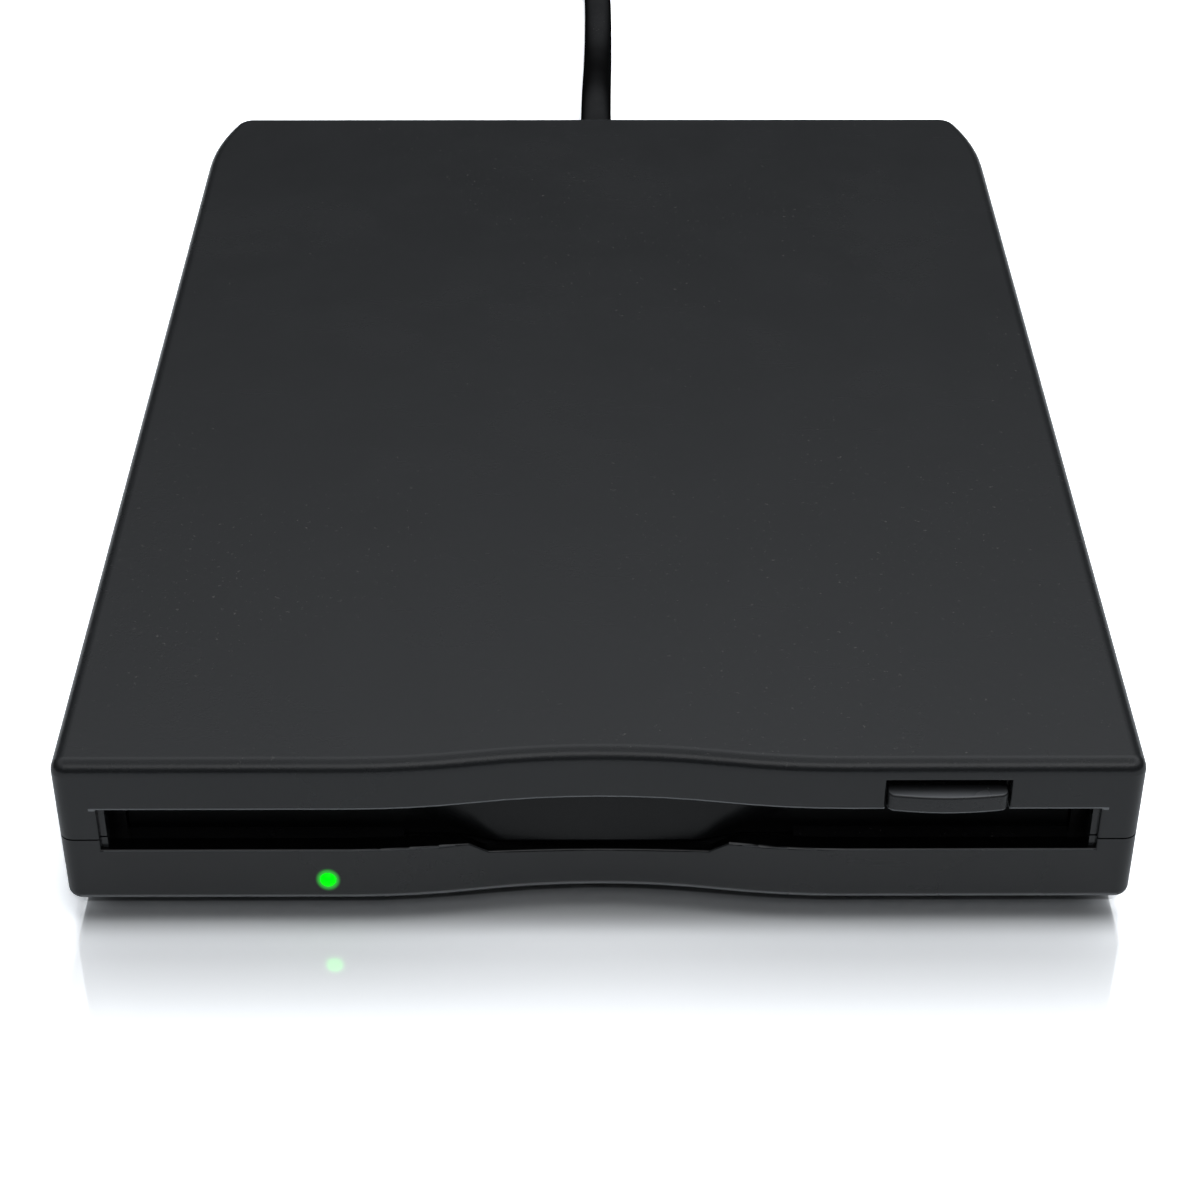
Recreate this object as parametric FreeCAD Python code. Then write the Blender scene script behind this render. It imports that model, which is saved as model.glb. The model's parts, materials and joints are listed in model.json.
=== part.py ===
"""External floppy disk drive: a slim two-part case, the floppy mechanism inside it and its USB lead.

Units are millimetres. +Z is up, the front face looks along -Y, and the origin is below the
middle of the case, on the surface that the rubber feet stand on. Heights inside the drive are
drawn from a datum 1 mm under the case's floor, and STAND lifts the whole drive to its place.
"""
import FreeCAD
import Part
import math
import os

# ---------------------------------------------------------------- driving dimensions
CASE_WIDTH = 104.2
CASE_DEPTH = 142.0
CASE_TOP = 18.1
CASE_BOTTOM = 1.0
STAND = 1.9                     # the feet hold the drawing's datum this far above the surface
PARTING_Z = 8.9
WALL = 1.8
SKIN = 1.6                      # roof and floor thickness
TOP_ROUND = 1.4
BOTTOM_ROUND = 1.0
FRONT_CORNER_R = 1.45
REAR_CORNER_X = 4.6             # how far the rear corner curve reaches in from the side
REAR_CORNER_Y = 14.0            # how far it reaches forward from the rear face
REAR_TIGHT_R = 2.5
WAVE_DEPTH = 1.87               # finger recess in the middle of the front
WAVE_REACH = 24.0               # half width of that recess
HALF_W = CASE_WIDTH / 2
HALF_D = CASE_DEPTH / 2
INNER_FLOOR = CASE_BOTTOM + SKIN
INNER_ROOF = CASE_TOP - SKIN
TONGUE = 0.8                    # overlap of the upper shell inside the lower one
PARTING_GAP = 0.18              # open line that shows between the shells
SLOT_ROUND = 0.25
FIT = 0.05

# disk slot in the front wall
SLOT_TOP = 12.56
SLOT_SILL = 7.6
SLOT_HALF_FRONT = 48.1
SLOT_HALF_INNER = 47.45         # the opening narrows to this behind a small step
SLOT_STEP_DEPTH = 0.55
NOTCH_SILL = 6.15
NOTCH_HALF_TOP = 13.3
NOTCH_HALF_BOTTOM = 10.75
NOTCH_SLOPE = 0.5

# eject button
BUTTON_X = 33.3
BUTTON_WIDTH = 11.6
BUTTON_BOTTOM = 12.6
BUTTON_TOP = 14.65
BUTTON_RIB_TOP = 15.0           # raised strip across its back, inside the wall
BUTTON_RIB_DEPTH = 1.2
BUTTON_PROUD = 0.75             # at its middle
BUTTON_BOW_R = 33.0
BUTTON_GAP = 0.16
BUTTON_BACK_Y = -67.9
STEM_BOTTOM = 14.6
STEM_TOP = 15.55
RELIEF_TOP = 16.1

# activity light
LED_X = -26.4
LED_Z = 3.78
LED_R = 0.82
LED_SINK = 0.3                  # the dome's centre lies this far behind the front face

# dust flap
FLAP_PIVOT_Y = -66.5
FLAP_PIVOT_Z = 14.0
FLAP_HALF = 45.9
FLAP_THICK = 0.8
FLAP_BOTTOM = 6.3
FLAP_PIN_R = 0.5
FLAP_BULGE = 1.5
BULGE_TOP_Z = 12.2
BULGE_HALF_TOP = 23.0
BULGE_FLANK_TOP = 9.5            # how far each soft flank reaches in from the side
BULGE_HALF_BOTTOM = 14.6
BULGE_FLANK_BOTTOM = 5.6
BULGE_RIM = ((0.0, 0.34), (0.12, 0.12), (0.36, 0.0))    # height above the lower edge, setback

# inner bezel that carries the flap
BEZEL_BOTTOM = 5.2
BEZEL_TOP = 16.2
BEZEL_BACK_Y = -65.2
BEZEL_FRONT_INSET = WALL + FIT
BEZEL_HALF = 49.4
BEZEL_BAR_BACK_Y = -67.35
BEZEL_MOUTH_HALF = 47.8
BEZEL_MOUTH_SILL = 7.4

# chassis and its side walls
PLATE_BOTTOM = 3.0
PLATE_TOP = 3.8
CHASSIS_HALF = 47.5
CHASSIS_SIDE = 0.6
CHASSIS_FRONT_Y = -63.5
CHASSIS_REAR_Y = 56.0
SIDE_REAR_Y = 30.0
COVER_BOTTOM = 15.5
COVER_TOP = 15.9

# disk cradle
CRADLE_HALF_IN = 45.2
CRADLE_SHEET = 0.6
LIP_TOP = 7.9
LIP_THICK = 0.4
LIP_INNER = 43.0
CRADLE_ROOF = 12.1
CRADLE_ROOF_TOP = 12.6
CRADLE_FRONT_Y = -57.0
CRADLE_REAR_Y = 23.2
DROP = 2.0                      # how far the cradle sinks when a disk is loaded
PIN_YS = (-45.0, 8.0)
PIN_Z = 11.3
PIN_R = 0.6

# shutter lever, which hangs under the cradle's roof
LEVER_X = -41.0
LEVER_Y = 18.0
LEVER_LENGTH = 21.0

# switches that feel the disk
SWITCH_PLACES = (("disk_in", 30.0, 21.0), ("write_protect", -39.0, -52.0), ("density", 39.0, -52.0))
SWITCH_TRAVEL = 1.2

# slide plate, which the eject button pushes
SLIDE_TRAVEL = 4.0
SLIDE_BOTTOM = 14.6
SLIDE_TOP = 15.1
SLIDE_HALF = 46.6
SLIDE_SHEET = 0.5
SLIDE_FRONT_Y = -54.0
SLIDE_REAR_Y = 22.0
SLIDE_LUG_Y = 40.0
TONGUE_HALF = 3.0

# eject springs
SPRING_X = 38.0
SPRING_Z = 13.3
SPRING_R = 0.85
SPRING_WIRE_R = 0.15
SPRING_LUG_Y = 26.2
SPRING_TURNS = 14

# spindle motor
SPINDLE_Y = -21.0
ROTOR_R = 16.0
ROTOR_TOP = 6.0
HUB_TOP = 6.5
HUB_R = 12.0
SHAFT_R = 1.5
DRIVE_PIN_RADIUS = 8.5
DRIVE_PIN_R = 0.9
COIL_COUNT = 9

# head carriage
HEAD_Y = 18.5                   # head at the outermost track
ROD_X = -11.0
ROD_Z = 4.4
ROD_R = 1.0
ROD_FRONT_Y = 11.0
ROD_REAR_Y = 46.0
ARM_PIVOT_Y = 41.0
ARM_PIVOT_Z = 12.6
ARM_PIVOT_R = 0.7
ARM_BOTTOM = 12.9
ARM_TOP = 13.9
LOWER_HEAD_TOP = 7.5
UPPER_HEAD_BOTTOM = 11.6

# stepper motor and lead screw
SCREW_X = 15.0
SCREW_Z = 8.9
SCREW_R = 1.2
STEPPER_R = 5.0
STEPPER_FRONT_Y = 46.0
STEPPER_REAR_Y = 54.0
FOLLOWER_Y = 40.4

# circuit boards
BOARD_BOTTOM = 5.0
BOARD_TOP = 5.8

# screws and feet
FOOT_R = 4.0
FOOT_TIP_R = 3.6
FOOT_SEAT = 0.5                 # depth of the recess that each foot sits in
FOOT_X = 43.0
FOOT_Y = 58.0
CASE_SCREW_X = 28.0
CASE_SCREW_Y = 63.0
MECH_SCREW_X = 40.0
MECH_SCREW_YS = (-46.0, 34.0)
SCREW_HEAD_R = 2.0
SCREW_SHANK_R = 1.0

# USB lead
CABLE_D = 4.4
CABLE_R = CABLE_D / 2
CABLE_Z = 9.1                   # height of the hole in the rear wall
RELIEF_END_Y = 84.0
COIL_CENTRE = (12.0, 205.0)
COIL_LINE_R = 24.4              # centreline of the outer turns
COIL_OUTER_R = COIL_LINE_R + CABLE_R
COIL_INNER_R = COIL_OUTER_R - 2 * CABLE_D
COIL_HEIGHT = 2 * CABLE_D
TIE_WIDTH = 4.0
TIE_THICK = 0.7
PLUG_X = 46.6
PLUG_Z = 4.0
PLUG_CABLE_Y = 197.5            # where the lead enters the plug
PLUG_BODY_Y = 193.0
PLUG_FACE_Y = 176.5
PLUG_WIDTH = 16.0
PLUG_HEIGHT = 8.0
SHELL_LENGTH = 12.0
SHELL_WIDTH = 12.0
SHELL_HEIGHT = 4.5
SHELL_SHEET = 0.3

# The lead's route from the strain relief to the coil: down to the floor and straight back.
CABLE_ROUTE = (
    (0.0, 84.0, 11.0),
    (0.05, 93.5, 10.7),
    (0.15, 105.0, 8.6),
    (0.3, 117.5, 5.5),
    (0.42, 130.0, 3.1),
    (0.5, 142.0, 2.2),
    (0.5, 153.0, 2.2),
    (0.2, 163.5, 2.2),
    (-1.7, 175.0, 2.2),
    (-5.7, 185.2, 2.2),
    (-10.11, 194.69, 2.2),
)
# The short free end from the coil to the plug.
TAIL_ROUTE = (
    (12.0, 229.4, 6.6),
    (22.0, 229.4, 6.3),
    (31.3, 226.1, 5.0),
    (38.9, 220.1, 3.8),
    (43.9, 212.2, 3.4),
    (46.2, 203.7, 3.7),
    (46.6, 197.5, 4.0),
)


# ---------------------------------------------------------------- small helpers
def vec(x, y, z):
    return FreeCAD.Vector(x, y, z)


def block(x0, x1, y0, y1, z0, z1):
    return Part.makeBox(x1 - x0, y1 - y0, z1 - z0, vec(x0, y0, z0))


def disc(x, y, z0, z1, radius):
    return Part.makeCylinder(radius, z1 - z0, vec(x, y, z0), vec(0, 0, 1))


def bar_x(x0, x1, y, z, radius):
    return Part.makeCylinder(radius, x1 - x0, vec(x0, y, z), vec(1, 0, 0))


def bar_y(x, y0, y1, z, radius):
    return Part.makeCylinder(radius, y1 - y0, vec(x, y0, z), vec(0, 1, 0))


def cone_y(x, y0, y1, z, radius0, radius1):
    return Part.makeCone(radius0, radius1, y1 - y0, vec(x, y0, z), vec(0, 1, 0))


def plate(points, direction):
    """A flat polygon pushed along a direction."""
    wire = Part.makePolygon(points + [points[0]])
    return Part.Face(wire).extrude(direction)


def join(shapes):
    body = shapes[0]
    for shape in shapes[1:]:
        body = body.fuse(shape)
    return body.removeSplitter()


def cut(body, tools):
    for tool in tools:
        body = body.cut(tool)
    return body


def group(shapes):
    """Separate solids of one kind kept in one node."""
    return Part.makeCompound(shapes)


def save(shape, name):
    shape.exportStep("parts/" + name + ".step")


def round_edges(shape, radius, wanted):
    edges = [edge for edge in shape.Edges if wanted(edge)]
    return shape.makeFillet(radius, edges)


def at_height(z):
    """Test for edges that lie at one height."""
    def test(edge):
        box = edge.BoundBox
        return abs(box.ZMin - z) < FIT and abs(box.ZMax - z) < FIT
    return test


# ---------------------------------------------------------------- case outline
def arc_through(centre, radius, start, end):
    """The short arc about a centre from the direction of start to that of end."""
    a = (start - centre).normalize()
    b = (end - centre).normalize()
    middle = (a + b).normalize()
    first = centre + a * radius
    last = centre + b * radius
    return Part.Arc(first, centre + middle * radius, last).toShape()


def wave_radius():
    """Radius of the equal, tangent arcs that make the recess in the front."""
    half = WAVE_REACH / 2
    rise = WAVE_DEPTH / 2
    return (half * half + rise * rise) / (2 * rise)


def front_edges(inset, z):
    """The wavy front line from left to right, pushed inward by inset."""
    radius = wave_radius()
    middle_centre = vec(0, -HALF_D + WAVE_DEPTH - radius, z)
    crest = vec(0, -HALF_D + WAVE_DEPTH, z)
    edges = []
    for side in (-1, 1):
        outer_centre = vec(side * WAVE_REACH, -HALF_D + radius, z)
        flat_point = vec(side * WAVE_REACH, -HALF_D, z)
        turning = vec(side * WAVE_REACH / 2, -HALF_D + WAVE_DEPTH / 2, z)
        outer = arc_through(outer_centre, radius - inset, flat_point, turning)
        inner = arc_through(middle_centre, radius + inset, turning, crest)
        edges.extend([outer, inner])
    return edges


def rear_corner(side, inset, z):
    """A long shallow arc and a tight one, tangent to the side, each other and the rear."""
    long_r = (REAR_CORNER_X ** 2 + REAR_CORNER_Y ** 2 - 2 * REAR_CORNER_Y * REAR_TIGHT_R)
    long_r /= 2 * (REAR_CORNER_X - REAR_TIGHT_R)
    long_centre = vec(side * (HALF_W - long_r), HALF_D - REAR_CORNER_Y, z)
    tight_centre = vec(side * (HALF_W - REAR_CORNER_X), HALF_D - REAR_TIGHT_R, z)
    meeting = tight_centre + (tight_centre - long_centre).normalize() * REAR_TIGHT_R
    side_point = vec(side * HALF_W, HALF_D - REAR_CORNER_Y, z)
    rear_point = vec(side * (HALF_W - REAR_CORNER_X), HALF_D, z)
    long_arc = arc_through(long_centre, long_r - inset, side_point, meeting)
    tight_arc = arc_through(tight_centre, REAR_TIGHT_R - inset, meeting, rear_point)
    return [long_arc, tight_arc]


def case_face(inset, z):
    """The case's plan at one height, pushed inward by inset."""
    x = HALF_W - inset
    front = -HALF_D + inset
    rear = HALF_D - inset
    edges = front_edges(inset, z)
    corner = max(FRONT_CORNER_R - inset, 0.0)
    for side in (-1, 1):
        edges.extend(rear_corner(side, inset, z))
        side_start = vec(side * x, front + corner, z)
        side_end = vec(side * x, HALF_D - REAR_CORNER_Y, z)
        front_end = vec(side * (x - corner), front, z)
        edges.append(Part.makeLine(side_start, side_end))
        edges.append(Part.makeLine(front_end, vec(side * WAVE_REACH, front, z)))
        if corner > 0:
            centre = vec(side * (x - corner), front + corner, z)
            edges.append(arc_through(centre, corner, side_start, front_end))
    rear_half = HALF_W - REAR_CORNER_X
    edges.append(Part.makeLine(vec(-rear_half, rear, z), vec(rear_half, rear, z)))
    ordered = Part.sortEdges(edges)[0]
    return Part.Face(Part.Wire(ordered))


def front_y(x):
    """The front face's place at one distance from the middle."""
    radius = wave_radius()
    reach = abs(x)
    if reach >= WAVE_REACH:
        return -HALF_D
    if reach >= WAVE_REACH / 2:
        return -HALF_D + radius - math.sqrt(radius ** 2 - (WAVE_REACH - reach) ** 2)
    return -HALF_D + WAVE_DEPTH - radius + math.sqrt(radius ** 2 - reach ** 2)


def on_front_face(point):
    return abs(point.y - front_y(point.x)) < FIT / 2


def slot_rim(z0, z1):
    """Test for edges on the front face, between two heights, that border the slot or the key."""
    def test(edge):
        box = edge.BoundBox
        middle = edge.valueAt((edge.FirstParameter + edge.LastParameter) / 2)
        ends = [vertex.Point for vertex in edge.Vertexes]
        between = box.ZMin > z0 - FIT / 2 and box.ZMax < z1 + FIT / 2
        inside = abs(middle.x) < SLOT_HALF_FRONT + FIT
        return between and inside and all(on_front_face(p) for p in ends + [middle])
    return test


def case_prism(inset, z0, z1):
    return case_face(inset, z0).extrude(vec(0, 0, z1 - z0))


def slot_prism(z0, z1):
    """The disk slot's plan through the front wall, with a step in its end walls."""
    outside = -HALF_D - 1.0
    step = -HALF_D + SLOT_STEP_DEPTH
    inside = -HALF_D + WALL + WAVE_DEPTH + 1.0
    mouth = block(-SLOT_HALF_FRONT, SLOT_HALF_FRONT, outside, step, z0, z1)
    throat = block(-SLOT_HALF_INNER, SLOT_HALF_INNER, outside, inside, z0, z1)
    return join([mouth, throat])


def notch_prism():
    """The lowered middle of the lip, whose floor slopes down towards the inside."""
    top = SLOT_SILL + 1.0
    flank = (NOTCH_HALF_TOP - NOTCH_HALF_BOTTOM) / (SLOT_SILL - NOTCH_SILL)
    start = -HALF_D - 1.0
    length = WALL + WAVE_DEPTH + 2.0
    wires = []
    for step in (0.0, length):
        floor = NOTCH_SILL + NOTCH_SLOPE * (WAVE_DEPTH + 1.0) - NOTCH_SLOPE * step
        half_floor = NOTCH_HALF_BOTTOM
        half_top = half_floor + flank * (top - floor)
        y = start + step
        corners = [vec(-half_floor, y, floor), vec(half_floor, y, floor),
                   vec(half_top, y, top), vec(-half_top, y, top)]
        wires.append(Part.makePolygon(corners + [corners[0]]))
    return Part.makeLoft(wires, True, True)


def button_window(gap, z0, z1):
    half = BUTTON_WIDTH / 2 + gap
    return block(BUTTON_X - half, BUTTON_X + half, -HALF_D - 1.0, BEZEL_BACK_Y + 1.0, z0, z1)


# ---------------------------------------------------------------- case
def upper_shell():
    """Roof and upper half of the walls, with the top edge of the slot and two screw posts."""
    rim = PARTING_Z + PARTING_GAP / 2
    body = case_prism(0.0, rim, CASE_TOP)
    body = round_edges(body, TOP_ROUND, at_height(CASE_TOP))
    body = body.cut(case_prism(WALL, PARTING_Z - 1.0, INNER_ROOF))
    lip = case_prism(WALL - TONGUE, PARTING_Z - TONGUE, rim)
    lip = lip.cut(case_prism(WALL, PARTING_Z - 1.0, PARTING_Z + 1.0))
    body = join([body, lip])
    body = cut(body, [slot_prism(PARTING_Z - 2.0, SLOT_TOP),
                      button_window(BUTTON_GAP, SLOT_TOP - 1.0, RELIEF_TOP),
                      bar_y(0, HALF_D - WALL - 1.0, HALF_D + 1.0, CABLE_Z, CABLE_R + 0.85)])
    body = round_edges(body, SLOT_ROUND, slot_rim(rim, RELIEF_TOP))
    posts = [disc(side * CASE_SCREW_X, CASE_SCREW_Y, PARTING_Z, INNER_ROOF, 2.6)
             for side in (-1, 1)]
    bores = [disc(side * CASE_SCREW_X, CASE_SCREW_Y, PARTING_Z - 1.0, INNER_ROOF - 1.0,
                  SCREW_SHANK_R) for side in (-1, 1)]
    return cut(join([body] + posts), bores)


def screw_seat(x, y):
    """Recess for the head and hole for the shank of a screw put in from below."""
    recess = disc(x, y, CASE_BOTTOM - 1.0, CASE_BOTTOM + 1.0, SCREW_HEAD_R + 0.2)
    hole = disc(x, y, CASE_BOTTOM, PARTING_Z, SCREW_SHANK_R + 0.15)
    return [recess, hole]


def lower_shell():
    """Floor and lower half of the walls, with bosses, foot recesses and the light's hole."""
    rim = PARTING_Z - PARTING_GAP / 2
    body = case_prism(0.0, CASE_BOTTOM, rim)
    body = round_edges(body, BOTTOM_ROUND, at_height(CASE_BOTTOM))
    body = body.cut(case_prism(WALL, INNER_FLOOR, PARTING_Z + 1.0))
    body = body.cut(case_prism(WALL - TONGUE - FIT, PARTING_Z - TONGUE - 2 * FIT, PARTING_Z + 1.0))
    body = cut(body, [slot_prism(SLOT_SILL, PARTING_Z + 1.0), notch_prism(),
                      bar_y(0, HALF_D - WALL - 1.0, HALF_D + 1.0, CABLE_Z, CABLE_R + 0.85)])
    body = round_edges(body, SLOT_ROUND, slot_rim(NOTCH_SILL - 1.0, rim))
    additions = []
    tools = [bar_y(LED_X, -HALF_D - 1.0, -HALF_D + WALL + 1.0, LED_Z, LED_R + FIT)]
    for side in (-1, 1):
        additions.append(disc(side * CASE_SCREW_X, CASE_SCREW_Y, INNER_FLOOR, PARTING_Z - FIT, 2.6))
        tools.extend(screw_seat(side * CASE_SCREW_X, CASE_SCREW_Y))
        additions.append(block(side * 41.0 - 1.0, side * 41.0 + 1.0, -HALF_D + WALL - 0.4,
                               BEZEL_BACK_Y, INNER_FLOOR, BEZEL_BOTTOM))
        additions.append(disc(side * 20.0, CASE_SCREW_Y, INNER_FLOOR, BOARD_BOTTOM, 1.6))
        for y in MECH_SCREW_YS:
            additions.append(disc(side * MECH_SCREW_X, y, INNER_FLOOR, PLATE_BOTTOM, 3.0))
            tools.extend(screw_seat(side * MECH_SCREW_X, y))
        for y in (-FOOT_Y, FOOT_Y):
            tools.append(disc(side * FOOT_X, y, CASE_BOTTOM - 1.0, CASE_BOTTOM + FOOT_SEAT, FOOT_R + FIT))
    return cut(join([body] + additions), tools)


def rubber_feet():
    """Four round pads pressed into recesses in the floor."""
    feet = []
    for x in (-FOOT_X, FOOT_X):
        for y in (-FOOT_Y, FOOT_Y):
            seat = disc(x, y, CASE_BOTTOM, CASE_BOTTOM + FOOT_SEAT, FOOT_R)
            pad = Part.makeCone(FOOT_TIP_R, FOOT_R, CASE_BOTTOM + STAND, vec(x, y, -STAND))
            foot = join([round_edges(pad, 0.5, at_height(-STAND)), seat])
            feet.append(foot)
    return group(feet)


def screw_from_below(x, y, tip):
    """Pan-head screw with a cross recess, its head inside the floor's recess."""
    head_low = CASE_BOTTOM + 0.1
    head_high = CASE_BOTTOM + 1.0
    head = disc(x, y, head_low, head_high, SCREW_HEAD_R)
    head = round_edges(head, 0.25, at_height(head_low))
    shank = disc(x, y, head_high, tip, SCREW_SHANK_R)
    arm = 1.2
    width = 0.22
    depth = 0.5
    cross = [block(x - arm, x + arm, y - width, y + width, head_low - 1.0, head_low + depth),
             block(x - width, x + width, y - arm, y + arm, head_low - 1.0, head_low + depth)]
    return cut(join([head, shank]), cross)


def case_screws():
    return group([screw_from_below(side * CASE_SCREW_X, CASE_SCREW_Y, 14.0) for side in (-1, 1)])


def mechanism_screws():
    screws = []
    for side in (-1, 1):
        for y in MECH_SCREW_YS:
            screws.append(screw_from_below(side * MECH_SCREW_X, y, PLATE_TOP + 0.8))
    return group(screws)


# ---------------------------------------------------------------- front
def inner_bezel():
    """Dark frame behind the front wall: it lines the slot and carries the flap's pins."""
    body = case_prism(BEZEL_FRONT_INSET, BEZEL_BOTTOM, BEZEL_TOP)
    body = body.common(block(-BEZEL_HALF, BEZEL_HALF, -HALF_D, BEZEL_BACK_Y, 0, CASE_TOP))
    chamber = block(-FLAP_HALF - 0.2, FLAP_HALF + 0.2, BEZEL_BAR_BACK_Y, 0,
                    BEZEL_BOTTOM + 0.7, FLAP_PIVOT_Z + 0.6)
    mouth = block(-BEZEL_MOUTH_HALF, BEZEL_MOUTH_HALF, -HALF_D, BEZEL_BAR_BACK_Y + FIT,
                  BEZEL_MOUTH_SILL, SLOT_TOP + 0.2)
    bulge_room = block(-19.0, 19.0, -HALF_D, BEZEL_BAR_BACK_Y + FIT, BEZEL_BOTTOM + 0.7, 8.0)
    pin_holes = bar_x(-FLAP_HALF - 1.7, FLAP_HALF + 1.7, FLAP_PIVOT_Y, FLAP_PIVOT_Z,
                      FLAP_PIN_R + FIT)
    spring_room = block(42.2, 45.6, BEZEL_BAR_BACK_Y, 0, FLAP_PIVOT_Z - 1.0, FLAP_PIVOT_Z + 1.0)
    return cut(body, [chamber, mouth, bulge_room, pin_holes, spring_room,
                      button_window(0.4, SLOT_TOP - 1.0, BEZEL_TOP + 1.0)])


def eject_button():
    """Bowed key with a hooked stem that grips the slide plate's tongue."""
    half = BUTTON_WIDTH / 2
    crown = vec(BUTTON_X, -HALF_D - BUTTON_PROUD, BUTTON_BOTTOM)
    end_drop = BUTTON_BOW_R - math.sqrt(BUTTON_BOW_R ** 2 - half ** 2)
    left = vec(BUTTON_X - half, crown.y + end_drop, BUTTON_BOTTOM)
    right = vec(BUTTON_X + half, crown.y + end_drop, BUTTON_BOTTOM)
    back_left = vec(left.x, BUTTON_BACK_Y, BUTTON_BOTTOM)
    back_right = vec(right.x, BUTTON_BACK_Y, BUTTON_BOTTOM)
    bow = Part.Arc(left, crown, right).toShape()
    edges = [bow, Part.makeLine(right, back_right), Part.makeLine(back_right, back_left),
             Part.makeLine(back_left, left)]
    key = Part.Face(Part.Wire(edges)).extrude(vec(0, 0, BUTTON_TOP - BUTTON_BOTTOM))
    front_line = left.y + 0.3

    def upright(edge):
        box = edge.BoundBox
        return box.ZLength > 1.0 and box.YMax < front_line

    def rims(edge):
        box = edge.BoundBox
        return box.ZLength < FIT and box.YMax < front_line
    key = round_edges(key, 0.8, upright)
    key = round_edges(key, 0.3, rims)
    rib = block(BUTTON_X - half, BUTTON_X + half, BUTTON_BACK_Y - BUTTON_RIB_DEPTH, BUTTON_BACK_Y,
                BUTTON_BOTTOM, BUTTON_RIB_TOP)
    stem = block(BUTTON_X - TONGUE_HALF - 2.0, BUTTON_X + TONGUE_HALF + 2.0,
                 BUTTON_BACK_Y - 1.0, BUTTON_BACK_Y + 7.0, STEM_BOTTOM, STEM_TOP)
    stem = stem.cut(block(BUTTON_X - half, BUTTON_X + half, BUTTON_BACK_Y - 2.0, BUTTON_BACK_Y,
                          BUTTON_RIB_TOP, STEM_TOP + 1.0))
    pocket = block(BUTTON_X - TONGUE_HALF - FIT, BUTTON_X + TONGUE_HALF + FIT,
                   BUTTON_BACK_Y + 1.5, BUTTON_BACK_Y + 8.0, STEM_BOTTOM - 1.0, SLIDE_TOP)
    return join([key, rib, stem]).cut(pocket)


def bulge_section(front, z, half, flank, height):
    """Plan of the swelling at one height: a straight crest between soft flanks."""
    crest_half = half - flank
    points = []
    for step in range(9):
        rise = 0.5 - 0.5 * math.cos(math.pi * step / 8)
        points.append(vec(-half + flank * step / 8, front - height * rise, z))
    mirrored = [vec(-point.x, point.y, z) for point in reversed(points)]
    along = vec(1, 0, 0)
    edges = []
    for track in (points, mirrored):
        curve = Part.BSplineCurve()
        curve.interpolate(Points=track, InitialTangent=along, FinalTangent=along)
        edges.append(curve.toShape())
    back = front + FLAP_THICK / 2
    corners = [vec(half, front, z), vec(half, back, z), vec(-half, back, z), vec(-half, front, z)]
    crest = Part.makeLine(vec(-crest_half, front - height, z), vec(crest_half, front - height, z))
    rest = [Part.makeLine(a, b) for a, b in zip(corners, corners[1:])]
    return Part.Wire([edges[0], crest, edges[1]] + rest)


def flap_bulge(front):
    """Low swelling, wide at the top and narrow at the bottom, with its lower rim softened."""
    sections = [bulge_section(front, FLAP_BOTTOM + rise, BULGE_HALF_BOTTOM, BULGE_FLANK_BOTTOM,
                              FLAP_BULGE - setback) for rise, setback in BULGE_RIM]
    sections.append(bulge_section(front, BULGE_TOP_Z, BULGE_HALF_TOP, BULGE_FLANK_TOP, FLAP_BULGE))
    return Part.makeLoft(sections, True, True)


def dust_flap():
    """Hinged shutter behind the slot, with a swollen middle that fills the finger recess."""
    front = FLAP_PIVOT_Y - FLAP_THICK / 2
    back = FLAP_PIVOT_Y + FLAP_THICK / 2
    sheet = block(-FLAP_HALF, FLAP_HALF, front, back, FLAP_BOTTOM, FLAP_PIVOT_Z)
    barrel = bar_x(-FLAP_HALF, FLAP_HALF, FLAP_PIVOT_Y, FLAP_PIVOT_Z, FLAP_THICK / 2)
    pins = bar_x(-FLAP_HALF - 1.6, FLAP_HALF + 1.6, FLAP_PIVOT_Y, FLAP_PIVOT_Z, FLAP_PIN_R - 0.1)
    bulge = flap_bulge(front)
    body = join([sheet, barrel, bulge, pins])
    spring_gap = block(42.6, 45.2, front - 1.0, back + 1.0, FLAP_PIVOT_Z - 1.3, FLAP_PIVOT_Z + 1.0)
    thin_pin = bar_x(42.0, 45.6, FLAP_PIVOT_Y, FLAP_PIVOT_Z, 0.35)
    return join([body.cut(spring_gap), thin_pin])


def helix_coil(radius, wire_radius, pitch, turns, base, direction):
    """A wound wire of round section along a direction."""
    length = pitch * turns
    path = Part.makeHelix(pitch, length, radius)
    profile = Part.Wire(Part.makeCircle(wire_radius, vec(radius, 0, 0), vec(0, 1, 0)))
    coil = Part.Wire(path).makePipeShell([profile], True, True)
    turn = FreeCAD.Rotation(vec(0, 0, 1), direction)
    coil.Placement = FreeCAD.Placement(base, turn)
    return coil


def flap_spring():
    """Torsion coil round the flap's pin that shuts the flap."""
    return helix_coil(0.55, 0.11, 0.3, 7, vec(42.85, FLAP_PIVOT_Y, FLAP_PIVOT_Z), vec(1, 0, 0))


def led_lens():
    """Light pipe from the front face, where it ends in a low dome, back to the light."""
    pipe = bar_y(LED_X, -HALF_D, -66.7, LED_Z, LED_R)
    flange = bar_y(LED_X, -HALF_D + WALL, -HALF_D + WALL + 0.6, LED_Z, LED_R + 0.2)
    ball = Part.makeSphere(math.hypot(LED_R, LED_SINK), vec(LED_X, -HALF_D + LED_SINK, LED_Z))
    dome = ball.common(block(LED_X - 2.0, LED_X + 2.0, -HALF_D - 2.0, -HALF_D, LED_Z - 2.0, LED_Z + 2.0))
    return join([pipe, flange, dome])


def status_led():
    body = block(LED_X - 1.0, LED_X + 1.0, -66.1, -65.2, LED_Z - 0.7, LED_Z + 0.7)
    window = bar_y(LED_X, -66.6, -66.1, LED_Z, 0.6)
    return join([body, window])


def led_board():
    return block(LED_X - 4.5, LED_X + 4.5, -65.2, -64.7, INNER_FLOOR, 5.1)


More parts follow.
